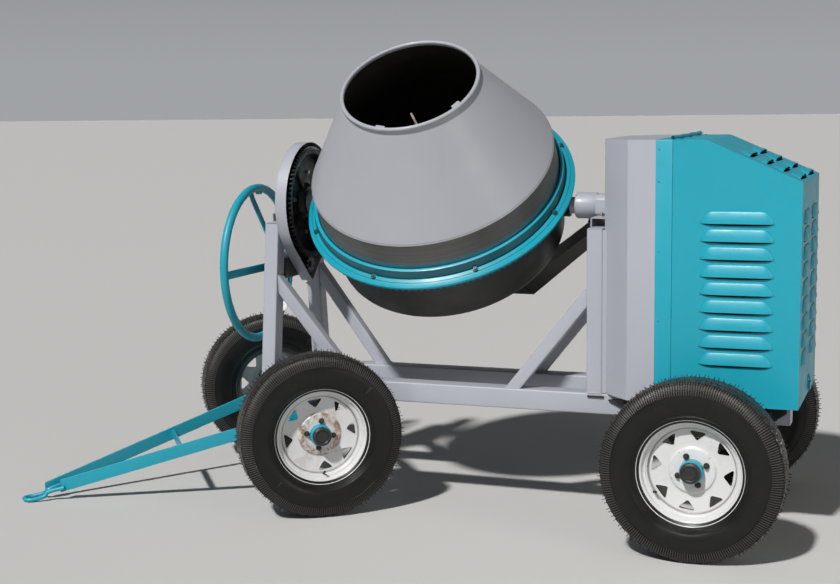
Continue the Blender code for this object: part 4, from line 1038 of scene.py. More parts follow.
def add_tilt_gear():
    """Large dished gear with four ribs, upright on the left trunnion."""
    upright = math.atan2(-DRUM_AXIS.y, DRUM_AXIS.z)
    matrix = TILTED @ Matrix.Rotation(-upright, 4, "X")
    module, teeth = 0.0059, 72
    outline = gear_outline(teeth, module * teeth / 2, module, -math.pi / 2 + math.pi / teeth)
    bm = bmesh.new()

    def circle_loop(radius, x):
        points = []
        for y, z in outline:
            angle = math.atan2(z, y)
            points.append(bm.verts.new((x, radius * math.cos(angle), radius * math.sin(angle))))
        return points

    def tooth_loop(x, scale=1.0):
        return [bm.verts.new((x, y * scale, z * scale)) for y, z in outline]

    face, web = GEAR_RIGHT, -0.5700
    loops = [circle_loop(0.0458, GEAR_LEFT), circle_loop(0.190, GEAR_LEFT), tooth_loop(GEAR_LEFT, 0.996),
             tooth_loop(GEAR_LEFT + 0.001), tooth_loop(face - 0.001), tooth_loop(face, 0.996),
             circle_loop(0.1955, face), circle_loop(0.1915, face - 0.0015),
             circle_loop(0.1880, face - 0.0080),
             circle_loop(0.1800, web), circle_loop(0.0760, web), circle_loop(0.0700, web + 0.006),
             circle_loop(0.0660, face - 0.013), circle_loop(0.0640, face - 0.010),
             circle_loop(0.0458, face - 0.010)]
    skin(bm, loops, True)
    for k in range(4):
        angle = math.radians(82 + 45 + 90 * k)
        out = Vector((0, math.cos(angle), math.sin(angle)))
        rib = [X * (web + 0.004) + out * 0.068, X * (web + 0.003) + out * 0.182]
        sweep(rib, rounded([(-0.009, -0.006), (0.009, -0.006), (0.006, 0.007), (-0.006, 0.007)], 0.003, 2),
              bm, up=X)
    show("tilt_gear_cut", bm, "gear", 30, "cradle", ("tilt_gear",), matrix=matrix)
    bm = bmesh.new()
    for k in range(4):
        angle = math.radians(82 + 90 * k)
        hex_bolt(bm, facing((web, 0.117 * math.cos(angle), 0.117 * math.sin(angle)), X, angle), 0.0085)
    hex_bolt(bm, facing((face - 0.010, -0.030, -0.047), X, 0.3), 0.006)
    show("tilt_gear_bolts", bm, "zinc", 30, "cradle", matrix=matrix)


def add_drive():
    """Bevel pinion, its collar and clamp screw, and the shaft inside the trunnion."""
    teeth, pitch_radius = 11, 0.040
    pitch = TAU / teeth
    bm = bmesh.new()
    loops = []
    for x, scale in ((0.4692, 0.955), (0.4702, 0.965), (0.4960, 1.0), (0.4970, 0.985)):
        loop = []
        for i in range(teeth):
            for share, height in ((-0.42, -0.0075), (-0.30, -0.0068), (-0.16, 0.0), (-0.06, 0.0028),
                                  (0.06, 0.0028),
                                  (0.16, 0.0), (0.30, -0.0068), (0.42, -0.0075)):
                angle = math.pi / 2 + (i + share) * pitch
                radius = (pitch_radius + height) * scale
                loop.append(bm.verts.new((x, radius * math.cos(angle), radius * math.sin(angle))))
        loops.append(loop)
    skin(bm, loops)
    bm.faces.new(loops[0])
    bm.faces.new(loops[-1])
    bar = turned(lathe([(0, 0.4680), (0.0165, 0.4680), (0.0178, 0.4700), (0.0178, 0.7510), (0, 0.7510)], 40,
                       closed=False), TO_X)
    join(bm, bar)
    show("drive_pinion_cut", bm, "gear", 30, "drive_shaft_set", ("drive_shaft",))
    bm = bmesh.new()
    hex_bolt(bm, facing((0.5620, 0, -0.0470), -Z, 0.4), 0.012, stud=0.004)
    show("trunnion_clamp_bolt", bm, "dark_steel", 30, "cradle")


# ---------------------------------------------------------------- handwheel
HAND_X, HAND_HUB_X = -1.834, -1.755


def add_handwheel():
    """Rim, four flat spokes, lug and hub, then the shaft with its pinion."""
    bm = bmesh.new()
    path = [Vector((HAND_X, PINION.y + 0.300 * math.cos(a), PINION.z + 0.300 * math.sin(a))) for a in
            [TAU * k / 120 for k in range(120)]]
    sweep(path, circle(0.0163, 20), bm, closed=True, up=X)
    for degrees in (4, 102, 184, 282):
        angle = math.radians(degrees)
        out = Vector((0, math.cos(angle), math.sin(angle)))
        center = Vector((0, PINION.y, PINION.z))
        points = [center + X * HAND_HUB_X + out * 0.018, center + X * (HAND_HUB_X - 0.002) + out * 0.060,
                  center + X * (HAND_X + 0.010) + out * 0.262, center + X * (HAND_X + 0.004) + out * 0.294]
        section = rounded([(-0.0155, -0.003), (0.0155, -0.003), (0.0155, 0.003), (-0.0155, 0.003)], 0.0015, 2)
        sweep(points, section, bm, up=X)
        across = Vector((0, -math.sin(angle), math.cos(angle)))
        tip = center + X * (HAND_X + 0.006) + out * 0.2850
        for side in (-1, 1):
            weld(bm, [tip + X * 0.003 * side + across * -0.014, tip + X * 0.003 * side + across * 0.014],
                 0.0028)
    lug = math.radians(86)
    out = Vector((0, math.cos(lug), math.sin(lug)))
    base = Vector((HAND_X, PINION.y, PINION.z)) + out * 0.2800
    across = Vector((0, -math.sin(lug), math.cos(lug)))
    sweep([base - across * 0.016, base + across * 0.016],
          rounded([(-0.007, -0.005), (0.007, -0.005), (0.007, 0.006), (-0.007, 0.006)], 0.003, 3), bm, up=out)
    hub = turned(lathe([(0.0132, -0.024), (0.0270, -0.024), (0.0300, -0.021), (0.0300, 0.017),
                        (0.0280, 0.020),
                        (0.0132, 0.020)], 48), Matrix.Translation((HAND_HUB_X, PINION.y, PINION.z)) @ TO_X)
    join(bm, hub)
    show("handwheel_welded", bm, "teal", 35, "handwheel_shaft", ("handwheel",))

    outline = gear_outline(12, 0.0059 * 6, 0.0056, math.pi / 2)
    bm = prism([(y, z + PINION.z) for y, z in outline], -1.636, -1.603, "YZ")
    bar = turned(lathe([(0, -1.781), (0.0115, -1.781), (0.0125, -1.779), (0.0125, -1.598), (0, -1.598)], 40,
                       closed=False), Matrix.Translation((0, 0, PINION.z)) @ TO_X)
    join(bm, bar)
    hex_bolt(bm, facing((-1.781, 0, PINION.z), -X, 0.2), 0.014)
    show("tilt_pinion_cut", bm, "gear", 30, "handwheel_shaft", ("tilt_pinion",))


# ---------------------------------------------------------------- chassis
RAIL_TOP, RAIL_HEIGHT, RAIL_OUTER, RAIL_SIZE = 0.4714, 0.0742, 0.198, 0.078
LEFT_POST, RIGHT_POST = (-1.700, -1.6440), (-0.441, -0.3835)
TOWER_TOP, POST_DEPTH = 1.062, 0.066


def rectangle_path(x0, y0, x1, y1, z):
    """Corners of a level rectangle."""
    return [(x0, y0, z), (x1, y0, z), (x1, y1, z), (x0, y1, z)]


def add_chassis():
    """Rails, bolster, posts, braces and top beams, with their welds."""
    middle_z = RAIL_TOP - RAIL_HEIGHT / 2
    foot, half = RAIL_TOP + GAP, POST_DEPTH / 2
    foot_plane, top_plane = ((0, 0, foot), Z), ((0, 0, TOWER_TOP), Z)
    left_mid, right_mid = sum(LEFT_POST) / 2, sum(RIGHT_POST) / 2
    welds = bmesh.new()

    def tube(node, start, end, width, depth, start_plane, end_plane, axis=X):
        bm = beam(start, end, width, depth, start_plane, end_plane, axis)
        show(f"{node}_tube", bm, "grey", 40, "chassis", (node,))

    start, end = (-1.671, -0.281, middle_z), (-1.671, 0.281, middle_z)
    tube("front_bolster", start, end, 0.070, RAIL_HEIGHT, (start, Y), (end, Y))
    for side, word in ((-1, "near"), (1, "far")):
        y = side * (RAIL_OUTER - RAIL_SIZE / 2)
        start, end = (-1.636 + GAP, y, middle_z), (0.270, y, middle_z)
        tube(f"rail_{word}", start, end, RAIL_SIZE, RAIL_HEIGHT, (start, X), (end, X), Y)
        cap = prism(rounded([(y - 0.0385, RAIL_TOP - 0.0005), (y + 0.0385, RAIL_TOP - 0.0005),
                             (y + 0.0385, RAIL_TOP - RAIL_HEIGHT + 0.0005),
                             (y - 0.0385, RAIL_TOP - RAIL_HEIGHT + 0.0005)], 0.006, 3), 0.2703, 0.2730, "YZ")
        show(f"rail_cap_{word}", cap, "grey", 40, "chassis")
        weld(welds, [(-1.6345, y - 0.036, RAIL_TOP - 0.0005), (-1.6345, y + 0.036, RAIL_TOP - 0.0005)])
        outer = side * (RAIL_OUTER - 0.0005)
        weld(welds, [(-1.6345, outer, RAIL_TOP - 0.008), (-1.6345, outer, RAIL_TOP - 0.066)])

        low = (left_mid, side * (0.274 - half), foot)
        high = (left_mid, side * (0.206 - half), TOWER_TOP)
        tube(f"left_post_{word}", low, high, LEFT_POST[1] - LEFT_POST[0], POST_DEPTH, foot_plane, top_plane)
        weld(welds, rectangle_path(LEFT_POST[0] + 0.001, low[1] - half + 0.001, LEFT_POST[1] - 0.001,
                                   low[1] + half - 0.001, foot + 0.001), 0.003, closed=True)

        low = (right_mid, side * (RAIL_OUTER - half), foot)
        high = (right_mid, side * (RAIL_OUTER - half), TOWER_TOP)
        tube(f"right_post_{word}", low, high, RIGHT_POST[1] - RIGHT_POST[0], POST_DEPTH, foot_plane,
             top_plane)
        weld(welds, rectangle_path(RIGHT_POST[0] + 0.001, low[1] - half + 0.001, RIGHT_POST[1] - 0.002,
                                   low[1] + half - 0.001, foot + 0.001), 0.003, closed=True)

        upper = (LEFT_POST[1] + GAP, side * 0.198, 0.831)
        lower = (-1.3675, side * 0.172, foot)
        tube(f"left_brace_{word}", lower, upper, 0.046, 0.046, foot_plane, (upper, X), Y)
        weld(welds, rectangle_path(-1.395, side * 0.172 - 0.021, -1.340, side * 0.172 + 0.021, foot + 0.001),
             0.003,
             closed=True)
        weld(welds, [(LEFT_POST[1] + 0.001, side * 0.220, 0.797),
                     (LEFT_POST[1] + 0.001, side * 0.220, 0.865)], 0.003)

        upper = (RIGHT_POST[0] - GAP, side * 0.172, 0.819)
        lower = (-0.7185, side * 0.172, foot)
        tube(f"right_brace_{word}", lower, upper, 0.046, 0.046, foot_plane, (upper, X), Y)
        weld(welds, rectangle_path(-0.746, side * 0.172 - 0.021, -0.690, side * 0.172 + 0.021, foot + 0.001),
             0.003,
             closed=True)
        weld(welds, [(RIGHT_POST[0] - 0.001, side * 0.194, 0.786),
                     (RIGHT_POST[0] - 0.001, side * 0.194, 0.852)],
             0.003)

        strip = prism([(-0.3835, side * 0.1972), (-0.3672, side * 0.1972), (-0.3795, side * 0.1848),
                       (-0.3835, side * 0.1848)], 0.4735, TOWER_TOP - 0.001)
        show(f"housing_joint_{word}", strip, "grey", 40, "chassis")
        # A thin black strip on the rail's side under the right post's foot: painted shadow under the post.
        shadow_strip = prism([(-0.436, 0.4574), (-0.376, 0.4574), (-0.376, 0.4650), (-0.436, 0.4650)],
                     side * (RAIL_OUTER + 0.0004), side * (RAIL_OUTER + 0.0060), "XZ")
        piece = show(f"bracket_lug_{word}", shadow_strip, "black", 40, "chassis")
        soften(piece, 0.0008)

    beam_z = TOWER_TOP + GAP + 0.019
    for node, span in (("left_top_beam", LEFT_POST), ("right_top_beam", RIGHT_POST)):
        middle = sum(span) / 2
        start, end = (middle, -0.140, beam_z), (middle, 0.140, beam_z)
        tube(node, start, end, span[1] - span[0], 0.038, (start, Y), (end, Y))
    for side in (-1, 1):
        for span in (LEFT_POST, RIGHT_POST):
            weld(welds, [(span[0] + 0.004, side * 0.1405, TOWER_TOP + 0.001),
                         (span[1] - 0.004, side * 0.1405, TOWER_TOP + 0.001)], 0.003)
            lid = prism(rounded([(span[0] + 0.001, side * 0.1425), (span[1] - 0.001, side * 0.1425),
                                 (span[1] - 0.001, side * 0.1970), (span[0] + 0.001, side * 0.1970)], 0.004,
                                3),
                        TOWER_TOP + 0.0002, TOWER_TOP + 0.0032)
            name = f"post_lid_{'left' if span is LEFT_POST else 'right'}_{'near' if side < 0 else 'far'}"
            soften(show(name, lid, "grey", 40, "chassis"), 0.0008)
    show("chassis_welds", welds, "grey", 60, "chassis")
    add_bearings()
    add_guard()
    add_rear_axle()


def add_bearings():
    """Trunnion bearing blocks, the pinion shaft's flange and the lock knob."""
    base = TOWER_TOP + 0.038 + 2 * GAP
    for node, x0, x1, bore in (("left_bearing_block", LEFT_POST[0], LEFT_POST[1], 0.0256),
                               ("right_bearing_block", -0.4460, RIGHT_POST[1], 0.0304)):
        corners = rounded([(-0.050, base), (0.050, base), (0.050, 1.128), (0.046, 1.160), (0.028, 1.1755),
                           (-0.028, 1.1755), (-0.046, 1.160), (-0.050, 1.128)], 0.012, 7)
        bm = bmesh.new()
        outer, inner = [[], []], [[], []]
        for y, z in corners:
            angle = math.atan2(z - TRUNNION.z, y)
            for k, x in enumerate((x0, x1)):
                outer[k].append(bm.verts.new((x, y, z)))
                inner[k].append(bm.verts.new((x, bore * math.cos(angle),
                                              TRUNNION.z + bore * math.sin(angle))))
        skin(bm, [inner[0], outer[0], outer[1], inner[1]], True)
        piece = show(f"{node}_cast", bm, "grey", 35, "chassis", (node,))
        soften(piece, 0.0015)
        bm = bmesh.new()
        hex_bolt(bm, facing(((x0 + x1) / 2, 0, 1.1755), Z), 0.008, washer=False, stud=0.006)
        for side in (-1, 1):
            hex_bolt(bm, facing(((x0 + x1) / 2, side * 0.078, base), Z, 0.3), 0.010, stud=0.004)
        show(f"{node}_bolts", bm, "zinc", 30, "chassis")

    z = PINION.z
    bm = bmesh.new()
    for side in (-1, 1):
        for dz in (-0.022, 0.022):
            hex_bolt(bm, facing((LEFT_POST[0], side * 0.105, z + dz), -X, 0.3), 0.010, stud=0.004)
    ring = turned(lathe([(0.0142, 0), (0.034, 0), (0.036, 0.003), (0.036, 0.012), (0.030, 0.016),
                         (0.0142, 0.016)], 48),
                  facing((LEFT_POST[0] - 0.0002, 0, z), -X))
    join(bm, ring)
    show("pinion_bearing_flange", bm, "gear", 35, "chassis")

    knob = turned(lathe([(0, -0.004), (0.0170, -0.004), (0.0195, -0.002), (0.0200, 0.002), (0.0190, 0.0045),
                         (0.0060, 0.0050), (0.0050, 0.0020), (0, 0.0020)], 48, closed=False),
                  facing((-1.7265, -0.010, 0.7150), Vector((0.25, -1, 0.1))))
    show("lock_knob", knob, "white_plastic", 35, "chassis")
    bm = sweep([Vector(p) for p in ((-1.7265, -0.0055, 0.7150), (-1.7250, 0.012, 0.7180),
                                    (-1.7190, 0.020, 0.745),
                                    (-1.7090, 0.020, 0.840), (-1.7085, 0.020, 0.862))], circle(0.0045, 10))
    show("lock_rod", bm, "dark_steel", 35, "chassis")


def guard_outline(radius, tip_z, round_tip=0.012, steps=96):
    """A circle about the trunnion drawn out to a rounded tip below."""
    drop = TRUNNION.z - tip_z
    touch = math.acos(radius / drop)
    points = [(0.0, tip_z)]
    for i in range(steps + 1):
        angle = -math.pi / 2 + touch + i * (TAU - 2 * touch) / steps
        points.append((radius * math.cos(angle), TRUNNION.z + radius * math.sin(angle)))
    return rounded(points, [round_tip] + [0.0] * (len(points) - 1), 6)


GUARD_LEFT, GUARD_RIGHT = -1.6425, -1.5970


def add_guard():
    """Hoop and back plate round the tilt gear."""
    outer = guard_outline(0.2345, 0.8170)
    inner = guard_outline(0.2315, 0.8215)
    bm = bmesh.new()
    loops = []
    for outline, x in ((outer, GUARD_LEFT + 0.003), (outer, GUARD_RIGHT), (inner, GUARD_RIGHT),
                       (inner, GUARD_LEFT + 0.003)):
        loops.append([bm.verts.new((x, y, z)) for y, z in outline])
    skin(bm, loops, True)
    soften(show("gear_guard_hoop", bm, "grey", 40, "chassis", ("gear_guard",)), 0.0007)

    bm = bmesh.new()
    rings = []
    for x in (GUARD_LEFT, GUARD_LEFT + 0.003):
        rim = [bm.verts.new((x, y, z)) for y, z in outer]
        hole = []
        for y, z in outer:
            angle = math.atan2(z - TRUNNION.z, y)
            hole.append(bm.verts.new((x, 0.032 * math.cos(angle), TRUNNION.z + 0.032 * math.sin(angle))))
        rings.append((rim, hole))
    skin(bm, [rings[0][1], rings[0][0], rings[1][0], rings[1][1]], True)
    show("gear_guard_plate", bm, "grey", 40, "chassis")
    seam = bmesh.new()
    weld(seam, [(GUARD_LEFT + 0.0035, y, z) for y, z in guard_outline(0.2312, 0.8220, steps=40)], 0.0022,
         closed=True, step=0.004)
    show("gear_guard_weld", seam, "grey", 60, "chassis")
    bm = bmesh.new()
    for y, z in ((-0.165, 1.04), (0.165, 1.04), (-0.165, 0.985), (0.165, 0.985)):
        hex_bolt(bm, facing((GUARD_LEFT + 0.003, y, z), X, 0.4), 0.006)
    hex_bolt(bm, facing((GUARD_RIGHT - 0.020, -0.010, 0.8135), -Z, 0.4), 0.005, washer=False)
    show("gear_guard_bolts", bm, "zinc", 30, "chassis")


def spindle_mesh(side, z, end, tip):
    """Stub axle from the beam's end out to its tip."""
    spindle = lathe([(0.028, end - 0.002), (0.028, end + 0.004), (0.0200, end + 0.008), (0.0200, tip - 0.002),
                     (0.0180, tip), (0, tip)], 32, closed=False)
    return turned(spindle, Matrix.Translation((0, 0, z)) @ Matrix.Rotation(-side * math.pi / 2, 4, "X"))


def add_rear_axle():
    """Solid beam, spindles and the brackets under the rails."""
    z, s, end, tip = 0.3053, 0.030, 0.534 - 0.059, 0.534 + 0.030
    start, stop = (0, -end, z), (0, end, z)
    bm = beam(start, stop, 2 * s, 2 * s, (start, Y), (stop, Y), X, wall=0, corner=0.007)
    for side in (-1, 1):
        join(bm, spindle_mesh(side, z, end, tip))
        outline = rounded([(-0.372, 0.455), (-0.055, 0.300), (0.055, 0.300), (0.262, 0.440), (0.262, 0.455)],
                          0.006, 3)
        low, high = sorted((side * (RAIL_OUTER + GAP), side * (RAIL_OUTER + 0.008)))
        prism(outline, low, high, "XZ", bm)
        for x in (-0.300, 0.200):
            hex_bolt(bm, facing((x, side * (RAIL_OUTER + 0.008), 0.437), Y * side, 0.2), 0.012)
        weld(bm, [(-0.045, side * 0.209, 0.338), (0.045, side * 0.209, 0.338)], 0.004)
        weld(bm, [(-0.300, side * 0.2075, 0.4560), (0.200, side * 0.2075, 0.4560)], 0.003)
    show("rear_axle_forged", bm, "black", 35, "chassis", ("rear_axle",))


# ---------------------------------------------------------------- front axle and towing bar
def add_front_axle():
    """Steered beam with the bar's ears, kingpin and turntable plate."""
    z, s, end, tip = 0.3053, 0.030, 0.512 - 0.059, 0.512 + 0.030
    start, stop = (0, -end, z), (0, end, z)
    bm = beam(start, stop, 2 * s, 2 * s, (start, Y), (stop, Y), X, wall=0, corner=0.007)
    for side in (-1, 1):
        join(bm, spindle_mesh(side, z, end, tip))
        y = side * 0.2835
        ear = rounded([(-0.095, 0.300), (-0.090, 0.334), (-0.045, 0.336), (0.0, 0.329), (0.0, 0.296)], 0.008,
                      4)
        prism(ear, y - 0.006, y + 0.006, "XZ", bm)
        weld(bm, [(-0.030, y - 0.006, 0.334), (-0.030, y - 0.006, 0.290)], 0.004)
    show("front_axle_forged", bm, "teal_worn", 35, "steered_axle", ("front_axle",))
    turntable = [(0, 0.3356), (0.100, 0.3356), (0.105, 0.3400), (0.105, 0.3710), (0.1030, 0.3755),
                 (0.0290, 0.3755),
                 (0.0290, 0.3964), (0, 0.3964)]
    show("kingpin_turned", lathe(turntable, 96, closed=False), "teal_worn", 35, "steered_axle", ("kingpin",))
    plate = [(0.0300, 0.3762), (0.1025, 0.3762), (0.1050, 0.3785), (0.1050, 0.3965), (0.0300, 0.3965)]
    show("turntable_plate_turned", lathe(plate, 96), "grey", 35, "chassis", ("turntable_plate",),
         matrix=Matrix.Translation((KINGPIN_X, 0, 0)))


def add_towing_bar():
    """In the bar's own frame: -X points ahead and the pivot lies on the Y axis."""
    reach, start_x, half, end_half, drop = 0.885, 0.014, 0.272, 0.0215, 0.048 - 0.318
    welds = bmesh.new()
    for side, word in ((-1, "near"), (1, "far")):
        start = Vector((start_x, side * half, 0.0))
        end = Vector((-reach, side * end_half, drop))
        across = (end - start).cross(Z)
        finish = end + (end - start) / (start_x + reach) * (-0.026 if side < 0 else 0.032)
        bm = beam(start, end, 0.008, 0.048, (start, X), (finish, X), across, wall=0, corner=0.0012)
        show(f"drawbar_arm_{word}_bar", bm, "teal_worn", 40, "towing_bar", (f"drawbar_arm_{word}",))
        bolts = bmesh.new()
        y = side * half
        hex_bolt(bolts, facing((0, y - side * 0.0042, -0.004), Y * -side, 0.3), 0.014)
        hex_bolt(bolts, facing((0, side * 0.2897, -0.004), Y * side, 0.3), 0.014, stud=0.004)
        show(f"drawbar_bolt_{word}", bolts, "teal_worn", 30, "towing_bar")

    def inside(x):
        slant = (half - end_half) / (start_x + reach)
        return half - slant * (start_x - x) - 0.004 * math.sqrt(1 + slant * slant) - GAP

    front, back = -0.400, -0.392
    level = drop * (start_x - front) / (start_x + reach)
    outline = [(front, -inside(front)), (back, -inside(back)), (back, inside(back)), (front, inside(front))]
    bm = prism(outline, level - 0.016, level + 0.016)
    cross = show("drawbar_cross_bar", bm, "teal_worn", 40, "towing_bar", ("drawbar_cross",))
    soften(cross, 0.0008)
    for side in (-1, 1):
        y = side * (inside(-0.396) - 0.0008)
        weld(welds, [(front - 0.001, y, level - 0.014), (front - 0.001, y, level + 0.014)], 0.0032)
        weld(welds, [(back + 0.001, y, level - 0.014), (back + 0.001, y, level + 0.014)], 0.0032)
    show("drawbar_welds", welds, "teal_worn", 60, "towing_bar")

    ground = 0.0090 - 0.318
    rod, bend = 0.008, 0.030
    front = 1.0812 - 0.075 - rod - bend
    path = [Vector((-front + bend * math.cos(a), bend * math.sin(a), ground)) for a in
            [math.pi / 2 + math.pi * k / 24 for k in range(25)]]
    right = [Vector(p) for p in ((-front + 0.045, -0.0290, ground + 0.010), (-0.905, -0.0270, drop - 0.012),
                                 (-0.845, -0.0440, drop + 0.004))]
    left = [Vector(p) for p in ((-0.860, 0.0150, drop + 0.002), (-0.905, 0.0080, drop - 0.012),
                                (-front + 0.045, 0.0240, ground + 0.010))]
    corners = left + path + right
    smooth = []
    for i in range(len(corners) - 1):
        p0, p1 = corners[max(i - 1, 0)], corners[i]
        p2, p3 = corners[i + 1], corners[min(i + 2, len(corners) - 1)]
        steps = 6 if (p2 - p1).length > 0.008 else 1
        for k in range(steps):
            t = k / steps
            smooth.append(0.5 * ((2 * p1) + (p2 - p0) * t + (2 * p0 - 5 * p1 + 4 * p2 - p3) * t ** 2
                                 + (3 * p1 - p0 - 3 * p2 + p3) * t ** 3))
    smooth.append(corners[-1])
    bm = sweep(smooth, circle(0.0080, 16))
    show("towing_eye_rod", bm, "teal_worn", 60, "towing_bar", ("towing_eye",))


# ---------------------------------------------------------------- housing and hood
HALF, HOUSING_LEFT, CHAMFER, STRIP, SEAM = 0.2875, -0.3796, 0.1034, -0.1804, -0.1233
SLOPE_START, HOOD_END, BOTTOM, TOP, END_TOP = -0.0120, 0.3075, 0.4726, 1.3815, 1.2401
SHEET = 0.0025


def sheet_shell(outline, low, high, sheet):
    """An open strip of folded sheet along an open plan outline."""
    count = len(outline)
    inner = []
    for i, corner in enumerate(outline):
        p = Vector(corner)
        before = Vector(outline[i - 1]) if i else None
        after = Vector(outline[i + 1]) if i < count - 1 else None
        normals = []
        for a, b in ((before, p), (p, after)):
            if a is not None and b is not None:
                d = b - a
                normals.append(Vector((d.y, -d.x)).normalized())
        n = sum(normals, Vector((0, 0))).normalized()
        inner.append(p - n * sheet / max(0.5, n.dot(normals[0])))
    ring = [tuple(p) for p in outline] + [tuple(p) for p in reversed(inner)]
    bm = bmesh.new()
    loops = [[bm.verts.new((x, y, z)) for x, y in ring] for z in (low, high)]
    skin(bm, loops)
    bm.faces.new(loops[0])
    bm.faces.new(loops[1])
    return bm


def bent(points, radius, steps=5):
    """Rounds the inner corners of an open polyline."""
    out = [tuple(points[0])]
    for a, b, c in zip(points, points[1:], points[2:]):
        a, b, c = Vector(a), Vector(b), Vector(c)
        start = b + (a - b).normalized() * radius
        end = b + (c - b).normalized() * radius
        for k in range(steps + 1):
            t = k / steps
            out.append(tuple(start * (1 - t) ** 2 + b * 2 * t * (1 - t) + end * t ** 2))
    out.append(tuple(points[-1]))
    return out


def add_housing():
    """Folded belt housing with its lid, the teal strip beside the hood, rivets and bolts."""
    left = HOUSING_LEFT
    half_plan = [(STRIP, HALF), (left + CHAMFER, HALF), (left, HALF - CHAMFER)]
    plan = half_plan + [(x, -y) for x, y in reversed(half_plan)]
    shell = sheet_shell(bent(plan, 0.005), BOTTOM, TOP - 0.0001, SHEET)
    wall = show("belt_housing_wall", shell, "grey", 28, "chassis", ("belt_housing",))
    hole = wall.modifiers.new("shaft_hole", "BOOLEAN")
    cutter = bpy.data.objects.new("hole_work", to_mesh("hole_work", turned(
        lathe([(0, -0.42), (0.034, -0.42), (0.034, -0.34), (0, -0.34)], 48, closed=False),
        Matrix.Translation((0, 0, TRUNNION.z)) @ TO_X), "grey"))
    bpy.context.scene.collection.objects.link(cutter)
    cutter.matrix_world = MACHINE
    hole.object = cutter
    hole.solver = "EXACT"
    bpy.context.view_layer.update()
    graph = bpy.context.evaluated_depsgraph_get()
    cut = bpy.data.meshes.new_from_object(wall.evaluated_get(graph))
    wall.modifiers.clear()
    wall.data = cut
    bpy.data.objects.remove(cutter)
    lid_plan = [(STRIP, HALF), (left + CHAMFER, HALF), (left, HALF - CHAMFER), (left, CHAMFER - HALF),
                (left + CHAMFER, -HALF), (STRIP, -HALF)]
    lid = prism([(x, y * 0.9985) for x, y in lid_plan], TOP - SHEET, TOP)
    soften(show("belt_housing_lid", lid, "grey", 40, "chassis"), 0.0012)

    bm = bmesh.new()
    loops = []
    for inset in (0.0, SHEET):
        for x in ((STRIP + 0.0002, SEAM) if inset == 0 else (SEAM, STRIP + 0.0002)):
            y, z = HALF - inset, TOP - inset
            corners = [(-y, BOTTOM), (-y, z - 0.004), (-y + 0.0012, z - 0.0012), (-y + 0.004, z),
                       (y - 0.004, z),
                       (y - 0.0012, z - 0.0012), (y, z - 0.004), (y, BOTTOM)]
            loops.append([bm.verts.new((x, cy, cz)) for cy, cz in corners])
    skin(bm, loops, True, closed_loop=False)
    bm.faces.new([loop[0] for loop in loops])
    bm.faces.new([loop[-1] for loop in loops])
    show("housing_teal_strip", bm, "teal", 40, "chassis")

    bm = bmesh.new()
    for side in (-1, 1):
        for z in (0.520, 0.760, 1.000, 1.240, 1.350):
            point = (STRIP + 0.012, side * HALF, z)
            rivet = turned(lathe([(0.0042, -0.0005), (0.0040, 0.0006), (0.0028, 0.0014), (0, 0.0018)], 14,
                                 closed=False), facing(point, Y * side))
            join(bm, rivet)
    show("housing_rivets", bm, "teal", 50, "chassis")
    bm = bmesh.new()
    for z in (0.56, 0.80, 1.05, 1.30):
        for side in (-1, 1):
            hex_bolt(bm, facing((HOUSING_LEFT, side * 0.150, z), -X, 0.3), 0.005)
    show("housing_bolts", bm, "grey", 30, "chassis")


LOUVRE_END = 0.040


def louvre_panel(bm, origin, along, up, out, length, rows, pitch, height=0.0435, depth=0.0105):
    """Pressed louvres on a flat panel: quarter-round ends, a bowed lip and an open underside."""
    origin, along, up, out = Vector(origin), Vector(along), Vector(up), Vector(out)
    columns, levels = 28, 9
    for row in range(rows):
        base = origin + up * (-row * pitch)
        grid = []
        for j in range(levels + 1):
            v = j / levels
            line = []
            for i in range(columns + 1):
                u = -1 + 2 * i / columns
                x = u * length / 2
                end = min(1.0, (1 - abs(u)) * length / 2 / LOUVRE_END)
                cap = math.sin(math.pi / 2 * end)
                top_line = height * (0.02 + 0.98 * (1 - (1 - end) ** 2.2))
                z = v * top_line
                rise = depth * cap * math.cos(math.pi / 2 * v) ** 0.8
                line.append(bm.verts.new(base + along * x + up * z + out * (rise + 0.0004)))
            grid.append(line)
        for j in range(levels):
            for i in range(columns):
                bm.faces.new((grid[j][i], grid[j][i + 1], grid[j + 1][i + 1], grid[j + 1][i]))
        lip = []
        for i in range(columns + 1):
            u = -1 + 2 * i / columns
            cap = math.sin(math.pi / 2 * min(1.0, (1 - abs(u)) * length / 2 / LOUVRE_END))
            x = u * length / 2
            lip.append(bm.verts.new(base + along * x + up * 0.0012 + out * (depth * cap - 0.0008)))
        for i in range(columns):
            bm.faces.new((grid[0][i + 1], grid[0][i], lip[i], lip[i + 1]))
    return bm


def slot_cutters(bm, origin, along, up, out, length, rows, pitch):
    """Lens-shaped holes under the lips."""
    origin, along, up, out = Vector(origin), Vector(along), Vector(up), Vector(out)
    for row in range(rows):
        base = origin + up * (-row * pitch)
        outline = []
        for k in range(17):
            u = -1 + 2 * k / 16
            outline.append((u * length * 0.47, -0.0015 - 0.0065 * math.sqrt(max(0.0, 1 - u * u))))
        outline += [(length * 0.47, 0.010), (-length * 0.47, 0.010)]
        ends = [[bm.verts.new(base + along * x + up * z + out * level) for x, z in outline]
                for level in (-0.012, 0.004)]
        bm.faces.new(ends[0])
        bm.faces.new(ends[1])
        skin(bm, ends)


def hood_profile(inset=0.0, left=SEAM + 0.001, bottom=BOTTOM):
    """Side outline of the hood's end, slope and top."""
    lean = math.atan2(TOP - END_TOP, HOOD_END - SLOPE_START)
    top = TOP - inset
    start = SLOPE_START - inset * math.tan(lean / 2)
    end = HOOD_END - inset
    end_top = top - (end - start) * math.tan(lean)
    return [(end, bottom), (end, end_top), (start, top), (left, top)]


